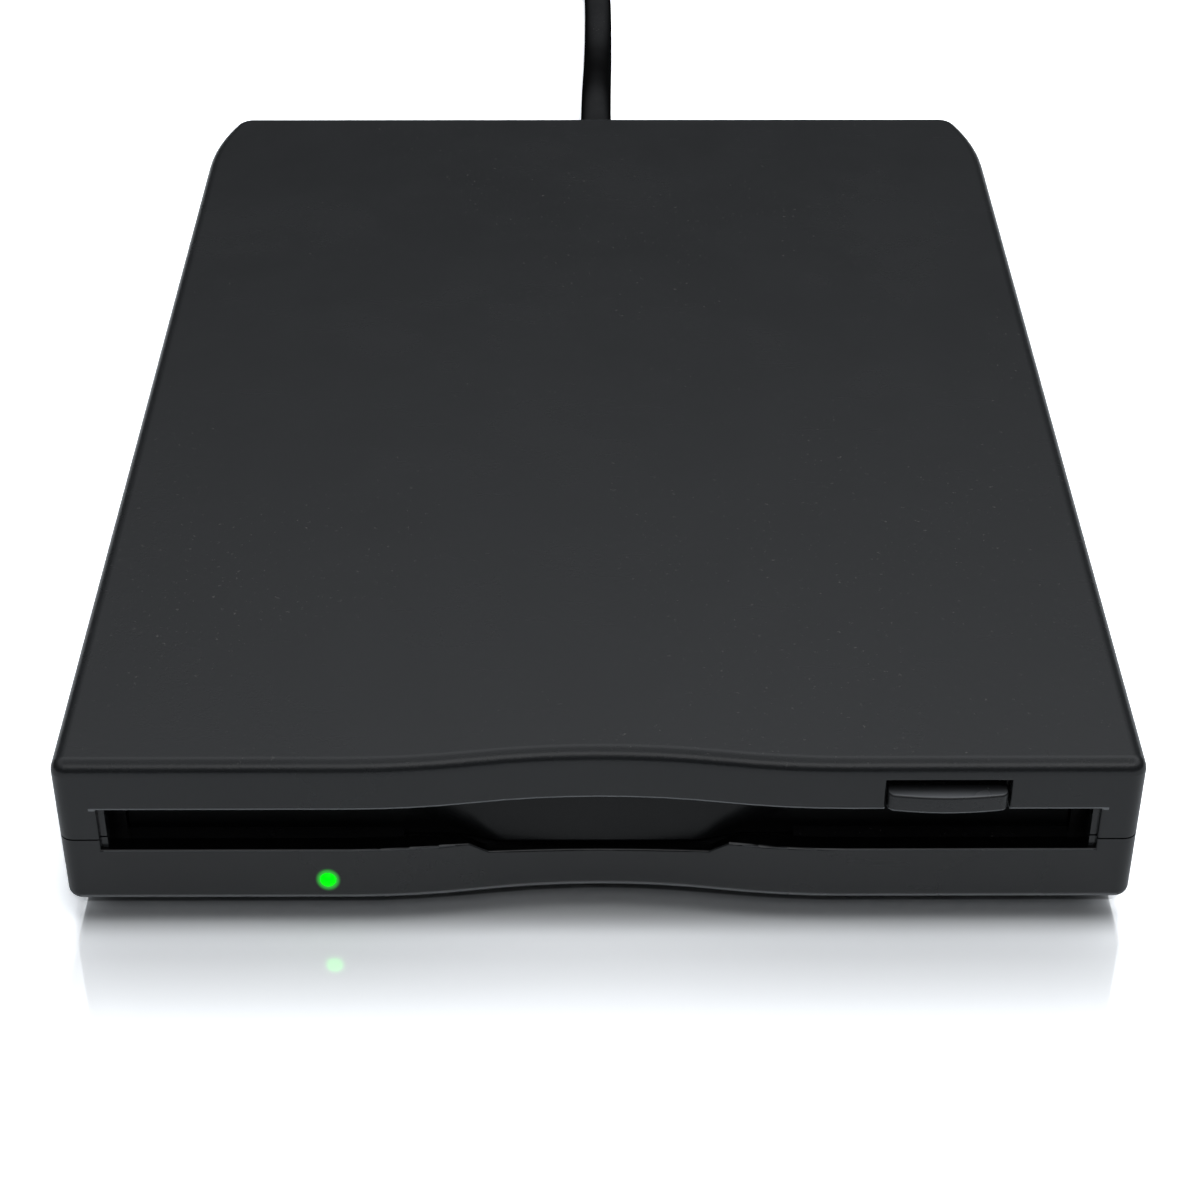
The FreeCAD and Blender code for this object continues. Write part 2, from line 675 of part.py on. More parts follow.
# ---------------------------------------------------------------- chassis and sheet metal
def chassis():
    """Pressed tray that carries the whole mechanism."""
    floor = block(-CHASSIS_HALF, CHASSIS_HALF, CHASSIS_FRONT_Y, CHASSIS_REAR_Y,
                  PLATE_BOTTOM, PLATE_TOP)
    additions = []
    tools = []
    for side in (-1, 1):
        outer = side * CHASSIS_HALF
        inner = side * (CHASSIS_HALF - CHASSIS_SIDE)
        low, high = min(outer, inner), max(outer, inner)
        additions.append(block(low, high, CHASSIS_FRONT_Y, SIDE_REAR_Y, PLATE_BOTTOM, COVER_BOTTOM))
        lug_x = side * SPRING_X
        additions.append(block(lug_x - 1.5, lug_x + 1.5, SPRING_LUG_Y - 0.8, SPRING_LUG_Y,
                               PLATE_TOP - 0.1, SPRING_Z + 1.1))
        for y in PIN_YS:
            guide = block(low - 1.0, high + 1.0, y - PIN_R - FIT, y + PIN_R + FIT,
                          PIN_Z - DROP - PIN_R - 0.1, PIN_Z + PIN_R + 0.1)
            tools.append(guide)
        for y in MECH_SCREW_YS:
            tools.append(disc(side * MECH_SCREW_X, y, 0, PLATE_TOP + 1.0, SCREW_SHANK_R + FIT))
    for x, y in ((-44.0, 30.5), (-44.0, 52.0), (-18.0, 52.0)):
        additions.append(disc(x, y, PLATE_TOP - 0.1, BOARD_BOTTOM, 1.5))
    tools.append(block(ROD_X - 2.6, ROD_X + 2.6, 14.6, 42.6, 0, PLATE_TOP + 0.2))
    tools.append(block(ROD_X - ROD_R - FIT, ROD_X + ROD_R + FIT, ROD_FRONT_Y, ROD_REAR_Y,
                       0, PLATE_TOP + 0.2))
    for x in (-28.0, 28.0):
        tools.append(block(x - 7.0, x + 7.0, -14.0, 16.0, 0, PLATE_TOP + 0.2))
    return cut(join([floor] + additions), tools)


def mechanism_cover():
    """Flat lid on the chassis walls, with long lightening slots."""
    body = block(-CHASSIS_HALF, CHASSIS_HALF, CHASSIS_FRONT_Y + 6.0, SIDE_REAR_Y, COVER_BOTTOM,
                 COVER_TOP)
    tools = [block(x - 6.0, x + 6.0, -44.0, 6.0, COVER_BOTTOM - 1.0, COVER_TOP + 1.0)
             for x in (-30.0, 30.0)]
    tools.append(block(-8.0, 8.0, 0.0, SIDE_REAR_Y + 1.0, COVER_BOTTOM - 1.0, COVER_TOP + 1.0))
    return cut(body, tools)


def slide_plate():
    """Sheet that the button pushes; slanted slots in its flanges lower and raise the cradle."""
    body = block(-SLIDE_HALF, SLIDE_HALF, SLIDE_FRONT_Y, SLIDE_REAR_Y, SLIDE_BOTTOM, SLIDE_TOP)
    additions = [block(BUTTON_X - TONGUE_HALF, BUTTON_X + TONGUE_HALF, BUTTON_BACK_Y + 1.6,
                       SLIDE_FRONT_Y + 1.0, SLIDE_BOTTOM, SLIDE_TOP)]
    tools = [block(-14.0, 14.0, -12.0, SLIDE_REAR_Y + 1.0, SLIDE_BOTTOM - 1.0, SLIDE_TOP + 1.0),
             block(-12.0, 12.0, -46.0, -20.0, SLIDE_BOTTOM - 1.0, SLIDE_TOP + 1.0)]
    reach = PIN_R + 0.05
    for side in (-1, 1):
        outer = side * SLIDE_HALF
        inner = side * (SLIDE_HALF - SLIDE_SHEET)
        low, high = min(outer, inner), max(outer, inner)
        additions.append(block(low, high, SLIDE_FRONT_Y, SLIDE_REAR_Y, PIN_Z - DROP - 1.8,
                               SLIDE_TOP))
        arm_x = side * SPRING_X
        additions.append(block(arm_x - 2.0, arm_x + 2.0, SLIDE_REAR_Y - 1.0, SLIDE_LUG_Y + 0.5,
                               SLIDE_BOTTOM, SLIDE_TOP))
        additions.append(block(arm_x - 1.2, arm_x + 1.2, SLIDE_LUG_Y, SLIDE_LUG_Y + 0.5,
                               SPRING_Z - 1.0, SLIDE_BOTTOM + 0.1))
        for y in PIN_YS:
            # The slot runs down and back, so a forward move of the plate lets the pin sink.
            top = vec(low - 1.0, y, PIN_Z)
            bottom = vec(low - 1.0, y + SLIDE_TRAVEL, PIN_Z - DROP)
            along = (bottom - top).normalize()
            across = vec(0, -along.z, along.y) * reach
            corners = [top + across, bottom + across, bottom - across, top - across]
            tools.append(plate(corners, vec(high - low + 2.0, 0, 0)))
            for end in (top, bottom):
                tools.append(bar_x(end.x, end.x + high - low + 2.0, end.y, end.z, reach))
    return cut(join([body] + additions), tools)


def eject_springs():
    """Two drawn coils between the chassis lugs and the slide plate's rear lugs."""
    pitch = (SLIDE_LUG_Y - SPRING_LUG_Y - 0.4) / SPRING_TURNS
    springs = []
    for side in (-1, 1):
        base = vec(side * SPRING_X, SPRING_LUG_Y + 0.2, SPRING_Z)
        springs.append(helix_coil(SPRING_R, SPRING_WIRE_R, pitch, SPRING_TURNS, base, vec(0, 1, 0)))
    return group(springs)


def disk_cradle():
    """Carrier with side lips that the disk slides into; its four pins ride in the slots."""
    roof = block(-CRADLE_HALF_IN - CRADLE_SHEET, CRADLE_HALF_IN + CRADLE_SHEET, CRADLE_FRONT_Y,
                 CRADLE_REAR_Y, CRADLE_ROOF, CRADLE_ROOF_TOP)
    shapes = [roof]
    for side in (-1, 1):
        outer = side * (CRADLE_HALF_IN + CRADLE_SHEET)
        wall_in = side * CRADLE_HALF_IN
        lip_in = side * LIP_INNER
        shapes.append(block(min(outer, wall_in), max(outer, wall_in), CRADLE_FRONT_Y, CRADLE_REAR_Y,
                            LIP_TOP - LIP_THICK, CRADLE_ROOF_TOP))
        shapes.append(block(min(outer, lip_in), max(outer, lip_in), CRADLE_FRONT_Y, CRADLE_REAR_Y,
                            LIP_TOP - LIP_THICK, LIP_TOP))
        for y in PIN_YS:
            tip = side * (CHASSIS_HALF - 0.1)
            shapes.append(bar_x(min(wall_in, tip), max(wall_in, tip), y, PIN_Z, PIN_R))
    body = join(shapes)
    window = block(-9.0, 9.0, -6.0, CRADLE_REAR_Y + 1.0, CRADLE_ROOF - 1.0, CRADLE_ROOF_TOP + 1.0)
    hub_window = disc(0, SPINDLE_Y - 14.0, CRADLE_ROOF - 1.0, CRADLE_ROOF_TOP + 1.0, 12.0)
    inner_walls = block(-CRADLE_HALF_IN, CRADLE_HALF_IN, CRADLE_FRONT_Y - 1.0, CRADLE_REAR_Y + 1.0,
                        LIP_TOP, CRADLE_ROOF)
    return cut(body, [window, hub_window, inner_walls])


# ---------------------------------------------------------------- shutter lever
def shutter_lever():
    """Arm under the cradle's roof that pushes the disk's metal shutter aside."""
    low = CRADLE_ROOF - 1.0
    high = CRADLE_ROOF - 0.1
    hub = disc(LEVER_X, LEVER_Y, low, high, 2.0)
    arm = block(LEVER_X - 1.2, LEVER_X + 1.2, LEVER_Y - LEVER_LENGTH, LEVER_Y, low, high)
    finger = disc(LEVER_X, LEVER_Y - LEVER_LENGTH, low - 1.6, high, 1.2)
    lever = join([hub, arm, finger])
    lever.rotate(vec(LEVER_X, LEVER_Y, 0), vec(0, 0, 1), 20.0)
    return lever.cut(disc(LEVER_X, LEVER_Y, low - 1.0, high + 1.0, 0.8 + FIT))


def lever_pivot():
    """Rivet that holds the shutter lever to the cradle."""
    stud = disc(LEVER_X, LEVER_Y, CRADLE_ROOF - 1.1, CRADLE_ROOF, 0.8)
    head = disc(LEVER_X, LEVER_Y, CRADLE_ROOF - 1.4, CRADLE_ROOF - 1.1, 1.5)
    return join([stud, head])


# ---------------------------------------------------------------- spindle motor
def motor_board():
    """Board under the spindle motor, with a hole for the bearing."""
    body = block(-24.0, 24.0, -46.0, 3.0, PLATE_TOP, PLATE_TOP + 0.4)
    return body.cut(disc(0, SPINDLE_Y, 0, PLATE_TOP + 1.0, 4.2))


def stator_coils():
    """Flat coils in a ring on the motor board."""
    coils = []
    for index in range(COIL_COUNT):
        angle = index * 360.0 / COIL_COUNT
        coil = block(-1.6, 1.6, 7.2, 12.6, PLATE_TOP + 0.4, PLATE_TOP + 0.65)
        coil = coil.cut(block(-0.6, 0.6, 8.6, 11.2, 0, ROTOR_TOP))
        coil.rotate(vec(0, 0, 0), vec(0, 0, 1), angle)
        coil.translate(vec(0, SPINDLE_Y, 0))
        coils.append(coil)
    return group(coils)


def spindle_bearing():
    """Flanged bush pressed into the chassis."""
    flange = disc(0, SPINDLE_Y, PLATE_TOP, PLATE_TOP + 0.5, 4.1)
    sleeve = disc(0, SPINDLE_Y, PLATE_TOP, 5.35, 3.0)
    return join([flange, sleeve]).cut(disc(0, SPINDLE_Y, PLATE_TOP - 1.0, 6.0, SHAFT_R + FIT))


def spindle_rotor():
    """Steel cup that holds the ring magnet."""
    cup = disc(0, SPINDLE_Y, 4.5, ROTOR_TOP, ROTOR_R)
    cup = cup.cut(disc(0, SPINDLE_Y, 4.0, ROTOR_TOP - 0.4, ROTOR_R - 0.6))
    cup = cup.cut(disc(0, SPINDLE_Y, 4.0, ROTOR_TOP + 1.0, SHAFT_R))
    return round_edges(cup, 0.25, lambda edge: at_height(ROTOR_TOP)(edge)
                       and edge.BoundBox.XLength > ROTOR_R)


def rotor_magnet():
    ring = disc(0, SPINDLE_Y, 4.7, ROTOR_TOP - 0.4, ROTOR_R - 0.6)
    return ring.cut(disc(0, SPINDLE_Y, 4.0, ROTOR_TOP, 7.0))


def spindle_hub():
    """Shaft, turntable and centre boss that the disk's metal hub sits on."""
    shaft = disc(0, SPINDLE_Y, PLATE_TOP + 0.1, ROTOR_TOP, SHAFT_R)
    table = disc(0, SPINDLE_Y, ROTOR_TOP, HUB_TOP, HUB_R)
    boss = disc(0, SPINDLE_Y, HUB_TOP, HUB_TOP + 0.9, 1.95)
    return join([shaft, table, boss]).cut(
        disc(DRIVE_PIN_RADIUS, SPINDLE_Y, ROTOR_TOP - 1.0, HUB_TOP + 1.0, DRIVE_PIN_R))


def drive_pin():
    """Pin that catches the slot in the disk's hub."""
    pin = disc(DRIVE_PIN_RADIUS, SPINDLE_Y, ROTOR_TOP, HUB_TOP + 0.8, DRIVE_PIN_R)
    return round_edges(pin, 0.3, at_height(HUB_TOP + 0.8))


# ---------------------------------------------------------------- head carriage
def head_carriage():
    """Carriage with a bush on the guide rod, a riser for the arm and a screw follower."""
    deck = block(-7.0, 6.0, 14.0, 43.0, 4.4, 5.7)
    bush = block(ROD_X - 2.2, ROD_X + 2.2, 30.0, 42.0, PLATE_BOTTOM + 0.05, 5.7)
    web = block(ROD_X, -6.0, 30.0, 42.0, 4.4, 5.7)
    riser = block(-7.0, 6.0, 39.0, 43.0, 5.6, 10.8)
    ears = [block(-7.0, -5.0, 39.4, 42.6, 10.7, ARM_PIVOT_Z + 1.2),
            block(4.0, 6.0, 39.4, 42.6, 10.7, ARM_PIVOT_Z + 1.2)]
    follower = block(5.0, SCREW_X - SCREW_R - 0.2, FOLLOWER_Y, FOLLOWER_Y + 1.6, 7.6, 10.2)
    body = join([deck, bush, web, riser, follower] + ears)
    return cut(body, [bar_y(ROD_X, 29.0, 43.0, ROD_Z, ROD_R + 0.04),
                      bar_x(-8.0, 7.0, ARM_PIVOT_Y, ARM_PIVOT_Z, ARM_PIVOT_R)])


def lower_head():
    """Fixed head on the carriage deck."""
    base = block(-4.0, 4.0, HEAD_Y - 4.0, HEAD_Y + 4.0, 5.7, 6.3)
    button = disc(0, HEAD_Y, 6.3, LOWER_HEAD_TOP, 2.6)
    return join([base, round_edges(button, 0.4, at_height(LOWER_HEAD_TOP))])


def upper_head_arm():
    """Arm over the disk, hinged on the carriage's pivot pin."""
    beam = block(-3.8, 3.2, HEAD_Y - 4.0, ARM_PIVOT_Y - 1.4, ARM_BOTTOM, ARM_TOP)
    barrel = bar_x(-2.2, 3.8, ARM_PIVOT_Y, ARM_PIVOT_Z, 1.5)
    neck = block(-2.2, 3.2, ARM_PIVOT_Y - 2.0, ARM_PIVOT_Y, ARM_PIVOT_Z + 0.2, ARM_TOP)
    body = join([beam, barrel, neck])
    return cut(body, [bar_x(-4.0, 5.0, ARM_PIVOT_Y, ARM_PIVOT_Z, ARM_PIVOT_R + FIT),
                      block(-1.6, 1.6, HEAD_Y + 8.0, ARM_PIVOT_Y - 4.0, ARM_BOTTOM - 1.0,
                            ARM_TOP + 1.0)])


def upper_head():
    button = disc(0, HEAD_Y, UPPER_HEAD_BOTTOM, ARM_BOTTOM, 2.4)
    return round_edges(button, 0.4, at_height(UPPER_HEAD_BOTTOM))


def arm_pivot_pin():
    return bar_x(-7.0, 6.0, ARM_PIVOT_Y, ARM_PIVOT_Z, ARM_PIVOT_R)


def arm_spring():
    """Torsion coil beside the arm's barrel that presses the upper head down."""
    return helix_coil(1.0, 0.15, 0.45, 4.5, vec(-4.7, ARM_PIVOT_Y, ARM_PIVOT_Z), vec(1, 0, 0))


def guide_rod():
    return bar_y(ROD_X, ROD_FRONT_Y, ROD_REAR_Y, ROD_Z, ROD_R)


def rod_clamps():
    """Two blocks on the chassis that hold the rod's ends."""
    clamps = []
    for y0 in (ROD_FRONT_Y, 43.0):
        clamp = block(ROD_X - 3.0, ROD_X + 3.0, y0, y0 + 3.0, PLATE_TOP, 5.9)
        clamps.append(clamp.cut(bar_y(ROD_X, y0 - 1.0, y0 + 4.0, ROD_Z, ROD_R)))
    return group(clamps)


# ---------------------------------------------------------------- stepper
def stepper_motor():
    """Small can with a front plate that stands on the chassis."""
    can = bar_y(SCREW_X, STEPPER_FRONT_Y, STEPPER_REAR_Y, SCREW_Z, STEPPER_R)
    front = block(SCREW_X - 6.0, SCREW_X + 6.0, STEPPER_FRONT_Y - 0.6, STEPPER_FRONT_Y,
                  PLATE_TOP, SCREW_Z + STEPPER_R)
    body = join([can, front])
    return body.cut(bar_y(SCREW_X, STEPPER_FRONT_Y - 2.0, STEPPER_FRONT_Y + 2.0, SCREW_Z,
                          SCREW_R + FIT))


def lead_screw():
    """Screw that moves the carriage: a core with thread crests, one a pitch."""
    front = 24.0
    core = bar_y(SCREW_X, front, STEPPER_FRONT_Y + 1.5, SCREW_Z, 0.85)
    path = Part.makeHelix(2.0, 18.0, 0.85)
    tooth = Part.makePolygon([vec(0.8, 0, -0.35), vec(SCREW_R, 0, -0.1), vec(SCREW_R, 0, 0.1),
                              vec(0.8, 0, 0.35), vec(0.8, 0, -0.35)])
    thread = Part.Wire(path).makePipeShell([tooth], True, True)
    turn = FreeCAD.Rotation(vec(0, 0, 1), vec(0, 1, 0))
    thread.Placement = FreeCAD.Placement(vec(SCREW_X, front + 2.6, SCREW_Z), turn)
    return join([core, thread])


def screw_bearing():
    """Bracket with a bush for the free end of the lead screw."""
    post = block(SCREW_X - 2.5, SCREW_X + 2.5, 23.6, 24.9, PLATE_TOP, SCREW_Z + 0.9)
    boss = bar_y(SCREW_X, 23.6, 24.9, SCREW_Z, 1.5)
    return join([post, boss]).cut(bar_y(SCREW_X, 23.9, 26.0, SCREW_Z, 0.85 + FIT))


# ---------------------------------------------------------------- switches
def switch_bodies():
    """Three small switches on the chassis: disk present, write protect and density."""
    bodies = []
    for _, x, y in SWITCH_PLACES:
        body = block(x - 2.0, x + 2.0, y - 1.5, y + 1.5, PLATE_TOP, 5.3)
        bodies.append(body.cut(disc(x, y, PLATE_TOP + 0.1, 6.0, 0.65)))
    return group(bodies)


def switch_plunger(x, y):
    pin = disc(x, y, PLATE_TOP + 0.15 + SWITCH_TRAVEL, 6.9, 0.6)
    return round_edges(pin, 0.25, at_height(6.9))


# ---------------------------------------------------------------- electronics
def control_board():
    body = block(-46.4, -15.4, 28.0, 55.0, BOARD_BOTTOM, BOARD_TOP)
    return body.cut(block(-47.0, -36.0, 31.5, 36.5, BOARD_BOTTOM - 1.0, BOARD_TOP + 1.0))


def chip(x, y, size, height, pins):
    """Flat package with gull-wing legs along all four sides."""
    half = size / 2
    body = block(x - half, x + half, y - half, y + half, BOARD_TOP + 0.1, BOARD_TOP + height)
    legs = []
    pitch = size / (pins + 1)
    for index in range(pins):
        offset = -half + pitch * (index + 1)
        for sx, sy in ((1, 0), (-1, 0), (0, 1), (0, -1)):
            cx = x + sx * (half + 0.3) + (offset if sx == 0 else 0)
            cy = y + sy * (half + 0.3) + (offset if sy == 0 else 0)
            wide = 0.4 if sx else 0.14
            deep = 0.4 if sy else 0.14
            legs.append(block(cx - wide, cx + wide, cy - deep, cy + deep, BOARD_TOP, BOARD_TOP + 0.3))
    return join([body] + legs)


def control_chip():
    return chip(-27.0, 43.4, 9.0, 1.3, 9)


def board_capacitors():
    """Small chip capacitors on the control board."""
    places = [(-40.0, 41.0), (-40.0, 44.0), (-40.0, 47.0), (-36.0, 51.0), (-32.0, 52.0),
              (-20.0, 36.0), (-24.0, 36.0), (-28.0, 36.0)]
    return group([block(x - 0.5, x + 0.5, y - 0.8, y + 0.8, BOARD_TOP, BOARD_TOP + 0.8)
                  for x, y in places])


def bridge_board():
    """Board that turns the drive's signals into USB."""
    body = block(-24.0, 24.0, 58.4, 67.4, BOARD_BOTTOM, BOARD_TOP)
    return body


def bridge_chip():
    return chip(6.0, 62.6, 5.6, 1.1, 7)


def crystal():
    """Metal can of the bridge board's clock."""
    can = block(12.4, 17.4, 60.6, 62.8, BOARD_TOP, BOARD_TOP + 1.4)
    return round_edges(can, 0.6, lambda edge: edge.BoundBox.ZLength > 1.0)


def ribbon_cable():
    """Flat cable from the control board to the bridge board."""
    points = [vec(-23.0, 50.0, BOARD_TOP + 1.0), vec(-23.0, 55.6, BOARD_TOP + 1.0),
              vec(-23.0, 56.8, BOARD_TOP + 1.6), vec(-23.0, 58.0, BOARD_TOP + 1.0),
              vec(-23.0, 62.0, BOARD_TOP + 1.0)]
    upper = [point + vec(0, 0, 0.15) for point in reversed(points)]
    return plate(points + upper, vec(8.0, 0, 0))


def ribbon_sockets():
    """Sockets that the flat cable's ends sit in, one on each board."""
    sockets = []
    for y0, y1 in ((49.0, 52.0), (60.0, 63.0)):
        socket = block(-23.6, -14.4, y0, y1, BOARD_TOP, BOARD_TOP + 1.8)
        if y0 < 55.0:
            socket = block(-23.6, -15.4, y0, y1, BOARD_TOP, BOARD_TOP + 1.8)
        sockets.append(socket.cut(block(-23.0 - FIT, -15.0 + FIT, y0 - 1.0, y1 + 1.0,
                                        BOARD_TOP + 0.95, BOARD_TOP + 1.2)))
    return group(sockets)


# ---------------------------------------------------------------- USB lead
def strain_relief():
    """Moulded sleeve: an inner flange, a neck through the wall and a ribbed taper outside."""
    inside = HALF_D - WALL
    flange = bar_y(0, inside - 1.6, inside - 0.1, CABLE_Z, 4.0)
    neck = bar_y(0, inside - 0.2, HALF_D + 0.2, CABLE_Z, CABLE_R + 0.8)
    taper = cone_y(0, HALF_D + 0.1, RELIEF_END_Y, CABLE_Z, 3.4, CABLE_R + 0.25)
    body = join([flange, neck, taper])
    grooves = []
    for index in range(4):
        y = HALF_D + 2.6 + index * 2.6
        ring = bar_y(0, y, y + 1.1, CABLE_Z, 5.0).cut(bar_y(0, y - 1.0, y + 2.1, CABLE_Z, CABLE_R + 0.3))
        grooves.append(ring)
    return cut(body, grooves)


def lead_wires():
    """The four cores of the lead, from the strain relief to the bridge board's pads."""
    wires = []
    inside = HALF_D - WALL - 1.6
    for index in range(4):
        x = -1.8 + 1.2 * index
        run = bar_y(x, 64.2, inside, BOARD_TOP + 1.6, 0.45)
        drop = disc(x, 64.65, BOARD_TOP, BOARD_TOP + 1.6, 0.3)
        wires.append(join([run, drop]))
    return group(wires)


def route_wire(points, label):
    """Straight runs joined by tangent arcs as large as the shorter run beside each allows."""
    corners = [vec(*point) for point in points]
    edges = []
    start = corners[0]
    for before, corner, after in zip(corners, corners[1:], corners[2:]):
        inward = (corner - before).normalize()
        outward = (after - corner).normalize()
        turn = inward.getAngle(outward)
        shorter = min((corner - before).Length, (after - corner).Length)
        setback = 0.45 * shorter
        radius = setback / math.tan(turn / 2)
        print(label, "radius", round(radius, 1))
        first = corner - inward * setback
        last = corner + outward * setback
        inner = (outward - inward).normalize()
        reach = radius / math.cos(turn / 2) - radius
        edges.append(Part.makeLine(start, first))
        edges.append(Part.Arc(first, corner + inner * reach, last).toShape())
        start = last
    edges.append(Part.makeLine(start, corners[-1]))
    return Part.Wire(edges)


def cable_tube(points, label):
    path = route_wire(points, label)
    heading = vec(*points[1]) - vec(*points[0])
    profile = Part.Wire(Part.makeCircle(CABLE_R, vec(*points[0]), heading))
    tube = path.makePipeShell([profile], True, False)
    expected = math.pi * CABLE_R ** 2 * path.Length
    print(label, "length", round(path.Length, 1), "volume ratio", round(tube.Volume / expected, 4))
    return tube


def usb_cable():
    return cable_tube(CABLE_ROUTE, "usb_cable")


def coil_ring():
    x, y = COIL_CENTRE
    ring = disc(x, y, 0.0, COIL_HEIGHT, COIL_OUTER_R)
    ring = ring.cut(disc(x, y, -1.0, COIL_HEIGHT + 1.0, COIL_INNER_R))
    return ring.makeFillet(1.6, [edge for edge in ring.Edges if edge.BoundBox.ZLength < FIT])


def tie_block(extra, z0, z1):
    """The room that the tie takes round the coil's section, at the side nearest the drive."""
    x, y = COIL_CENTRE
    return block(x - TIE_WIDTH / 2, x + TIE_WIDTH / 2, y - COIL_OUTER_R - extra,
                 y - COIL_INNER_R + extra, z0, z1)


def usb_cable_coil():
    """The wound length of the lead as one closed ring, grooved below for the tie."""
    return coil_ring().cut(tie_block(2.0, -1.0, TIE_THICK))


def cable_tie():
    """Flat strap round the coil's section."""
    strap = tie_block(TIE_THICK, 0.0, COIL_HEIGHT + TIE_THICK)
    strap = round_edges(strap, 0.6, lambda edge: edge.BoundBox.XLength > 1.0)
    return strap.cut(usb_cable_coil())


def usb_cable_tail():
    return cable_tube(TAIL_ROUTE, "usb_cable_tail")


def plug_overmould():
    """Grip of the USB plug, with a tapered neck round the lead."""
    half = PLUG_WIDTH / 2
    grip = block(PLUG_X - half, PLUG_X + half, PLUG_FACE_Y, PLUG_BODY_Y,
                 PLUG_Z - PLUG_HEIGHT / 2, PLUG_Z + PLUG_HEIGHT / 2)
    grip = round_edges(grip, 2.0, lambda edge: edge.BoundBox.YLength > 1.0)
    grip = round_edges(grip, 0.8, lambda edge: edge.BoundBox.YLength < FIT)
    neck = cone_y(PLUG_X, PLUG_BODY_Y - 1.0, PLUG_CABLE_Y, PLUG_Z, 3.5, CABLE_R + 0.3)
    grooves = []
    for side in (-1, 1):
        for index in range(4):
            y = PLUG_FACE_Y + 5.0 + 2.4 * index
            x = PLUG_X + side * half
            grooves.append(block(x - 0.4, x + 0.4, y, y + 1.2, 0.0, PLUG_HEIGHT))
    return cut(join([grip, neck]), grooves)


def plug_shell():
    """Rolled metal shell of the plug, with its four latch windows."""
    half = SHELL_WIDTH / 2
    low = PLUG_Z - SHELL_HEIGHT / 2
    high = PLUG_Z + SHELL_HEIGHT / 2
    start = PLUG_FACE_Y - SHELL_LENGTH
    shell = block(PLUG_X - half, PLUG_X + half, start, PLUG_FACE_Y, low, high)
    shell = round_edges(shell, 0.6, lambda edge: edge.BoundBox.YLength > 1.0)
    hollow = block(PLUG_X - half + SHELL_SHEET, PLUG_X + half - SHELL_SHEET, start - 1.0,
                   PLUG_FACE_Y + 1.0, low + SHELL_SHEET, high - SHELL_SHEET)
    hollow = round_edges(hollow, 0.35, lambda edge: edge.BoundBox.YLength > 1.0)
    windows = [block(PLUG_X + side * 3.0 - 1.2, PLUG_X + side * 3.0 + 1.2, start + 5.0, start + 7.2,
                     low - 1.0, high + 1.0) for side in (-1, 1)]
    return cut(shell, [hollow] + windows)


def plug_tongue():
    """Insulating tongue in the upper half of the plug's shell."""
    high = PLUG_Z + SHELL_HEIGHT / 2 - SHELL_SHEET
    half = SHELL_WIDTH / 2 - SHELL_SHEET - FIT
    start = PLUG_FACE_Y - SHELL_LENGTH + 0.6
    tongue = block(PLUG_X - half, PLUG_X + half, start, PLUG_FACE_Y, high - 1.85, high - FIT)
    return round_edges(tongue, 0.3, lambda edge: edge.BoundBox.YLength > 1.0)


def plug_contacts():
    """Four plated strips under the tongue."""
    high = PLUG_Z + SHELL_HEIGHT / 2 - SHELL_SHEET - 1.85
    start = PLUG_FACE_Y - SHELL_LENGTH + 1.6
    return group([block(PLUG_X + x - 0.5, PLUG_X + x + 0.5, start, PLUG_FACE_Y, high - 0.15, high)
                  for x in (-3.5, -1.0, 1.0, 3.5)])


# ---------------------------------------------------------------- write every part
DRIVE_PARTS = (
    upper_shell, lower_shell, rubber_feet, case_screws, mechanism_screws,
    inner_bezel, eject_button, dust_flap, flap_spring, led_lens, status_led, led_board,
    chassis, mechanism_cover, slide_plate, eject_springs, disk_cradle, shutter_lever, lever_pivot,
    motor_board, stator_coils, spindle_bearing, spindle_rotor, rotor_magnet, spindle_hub, drive_pin,
    head_carriage, lower_head, upper_head_arm, upper_head, arm_pivot_pin, arm_spring,
    guide_rod, rod_clamps, stepper_motor, lead_screw, screw_bearing, switch_bodies,
    control_board, control_chip, board_capacitors, bridge_board, bridge_chip, crystal,
    ribbon_cable, ribbon_sockets, strain_relief, lead_wires,
)
# These lie on the surface beside the drive, so they are drawn where they lie.
LOOSE_PARTS = (
    usb_cable, usb_cable_coil, cable_tie, usb_cable_tail,
    plug_overmould, plug_shell, plug_tongue, plug_contacts,
)


def lifted(shape):
    return shape.translated(vec(0, 0, STAND))


os.makedirs("parts", exist_ok=True)
for maker in DRIVE_PARTS:
    save(lifted(maker()), maker.__name__)
for switch_name, switch_x, switch_y in SWITCH_PLACES:
    save(lifted(switch_plunger(switch_x, switch_y)), "plunger_" + switch_name)
for maker in LOOSE_PARTS:
    save(maker(), maker.__name__)
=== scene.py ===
import bpy
import json
import math
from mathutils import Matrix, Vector


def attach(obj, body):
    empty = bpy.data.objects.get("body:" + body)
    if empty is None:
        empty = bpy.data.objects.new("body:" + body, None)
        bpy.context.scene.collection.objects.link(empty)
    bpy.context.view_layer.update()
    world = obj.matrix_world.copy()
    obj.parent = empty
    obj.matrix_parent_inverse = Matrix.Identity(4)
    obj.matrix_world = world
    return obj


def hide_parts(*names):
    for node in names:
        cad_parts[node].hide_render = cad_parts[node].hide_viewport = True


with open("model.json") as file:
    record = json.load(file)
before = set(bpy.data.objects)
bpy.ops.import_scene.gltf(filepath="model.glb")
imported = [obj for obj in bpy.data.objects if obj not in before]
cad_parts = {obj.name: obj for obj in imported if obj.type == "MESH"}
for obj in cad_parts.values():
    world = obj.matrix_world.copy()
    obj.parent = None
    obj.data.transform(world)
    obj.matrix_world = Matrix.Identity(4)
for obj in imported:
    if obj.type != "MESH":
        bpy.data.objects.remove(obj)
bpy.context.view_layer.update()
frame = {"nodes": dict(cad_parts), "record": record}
MM = 0.001
LIGHT_X = -26.4 * MM
LIGHT_Z = 5.68 * MM
SLOT_EDGE_Z = 14.58 * MM
SILL_Z = 9.42 * MM
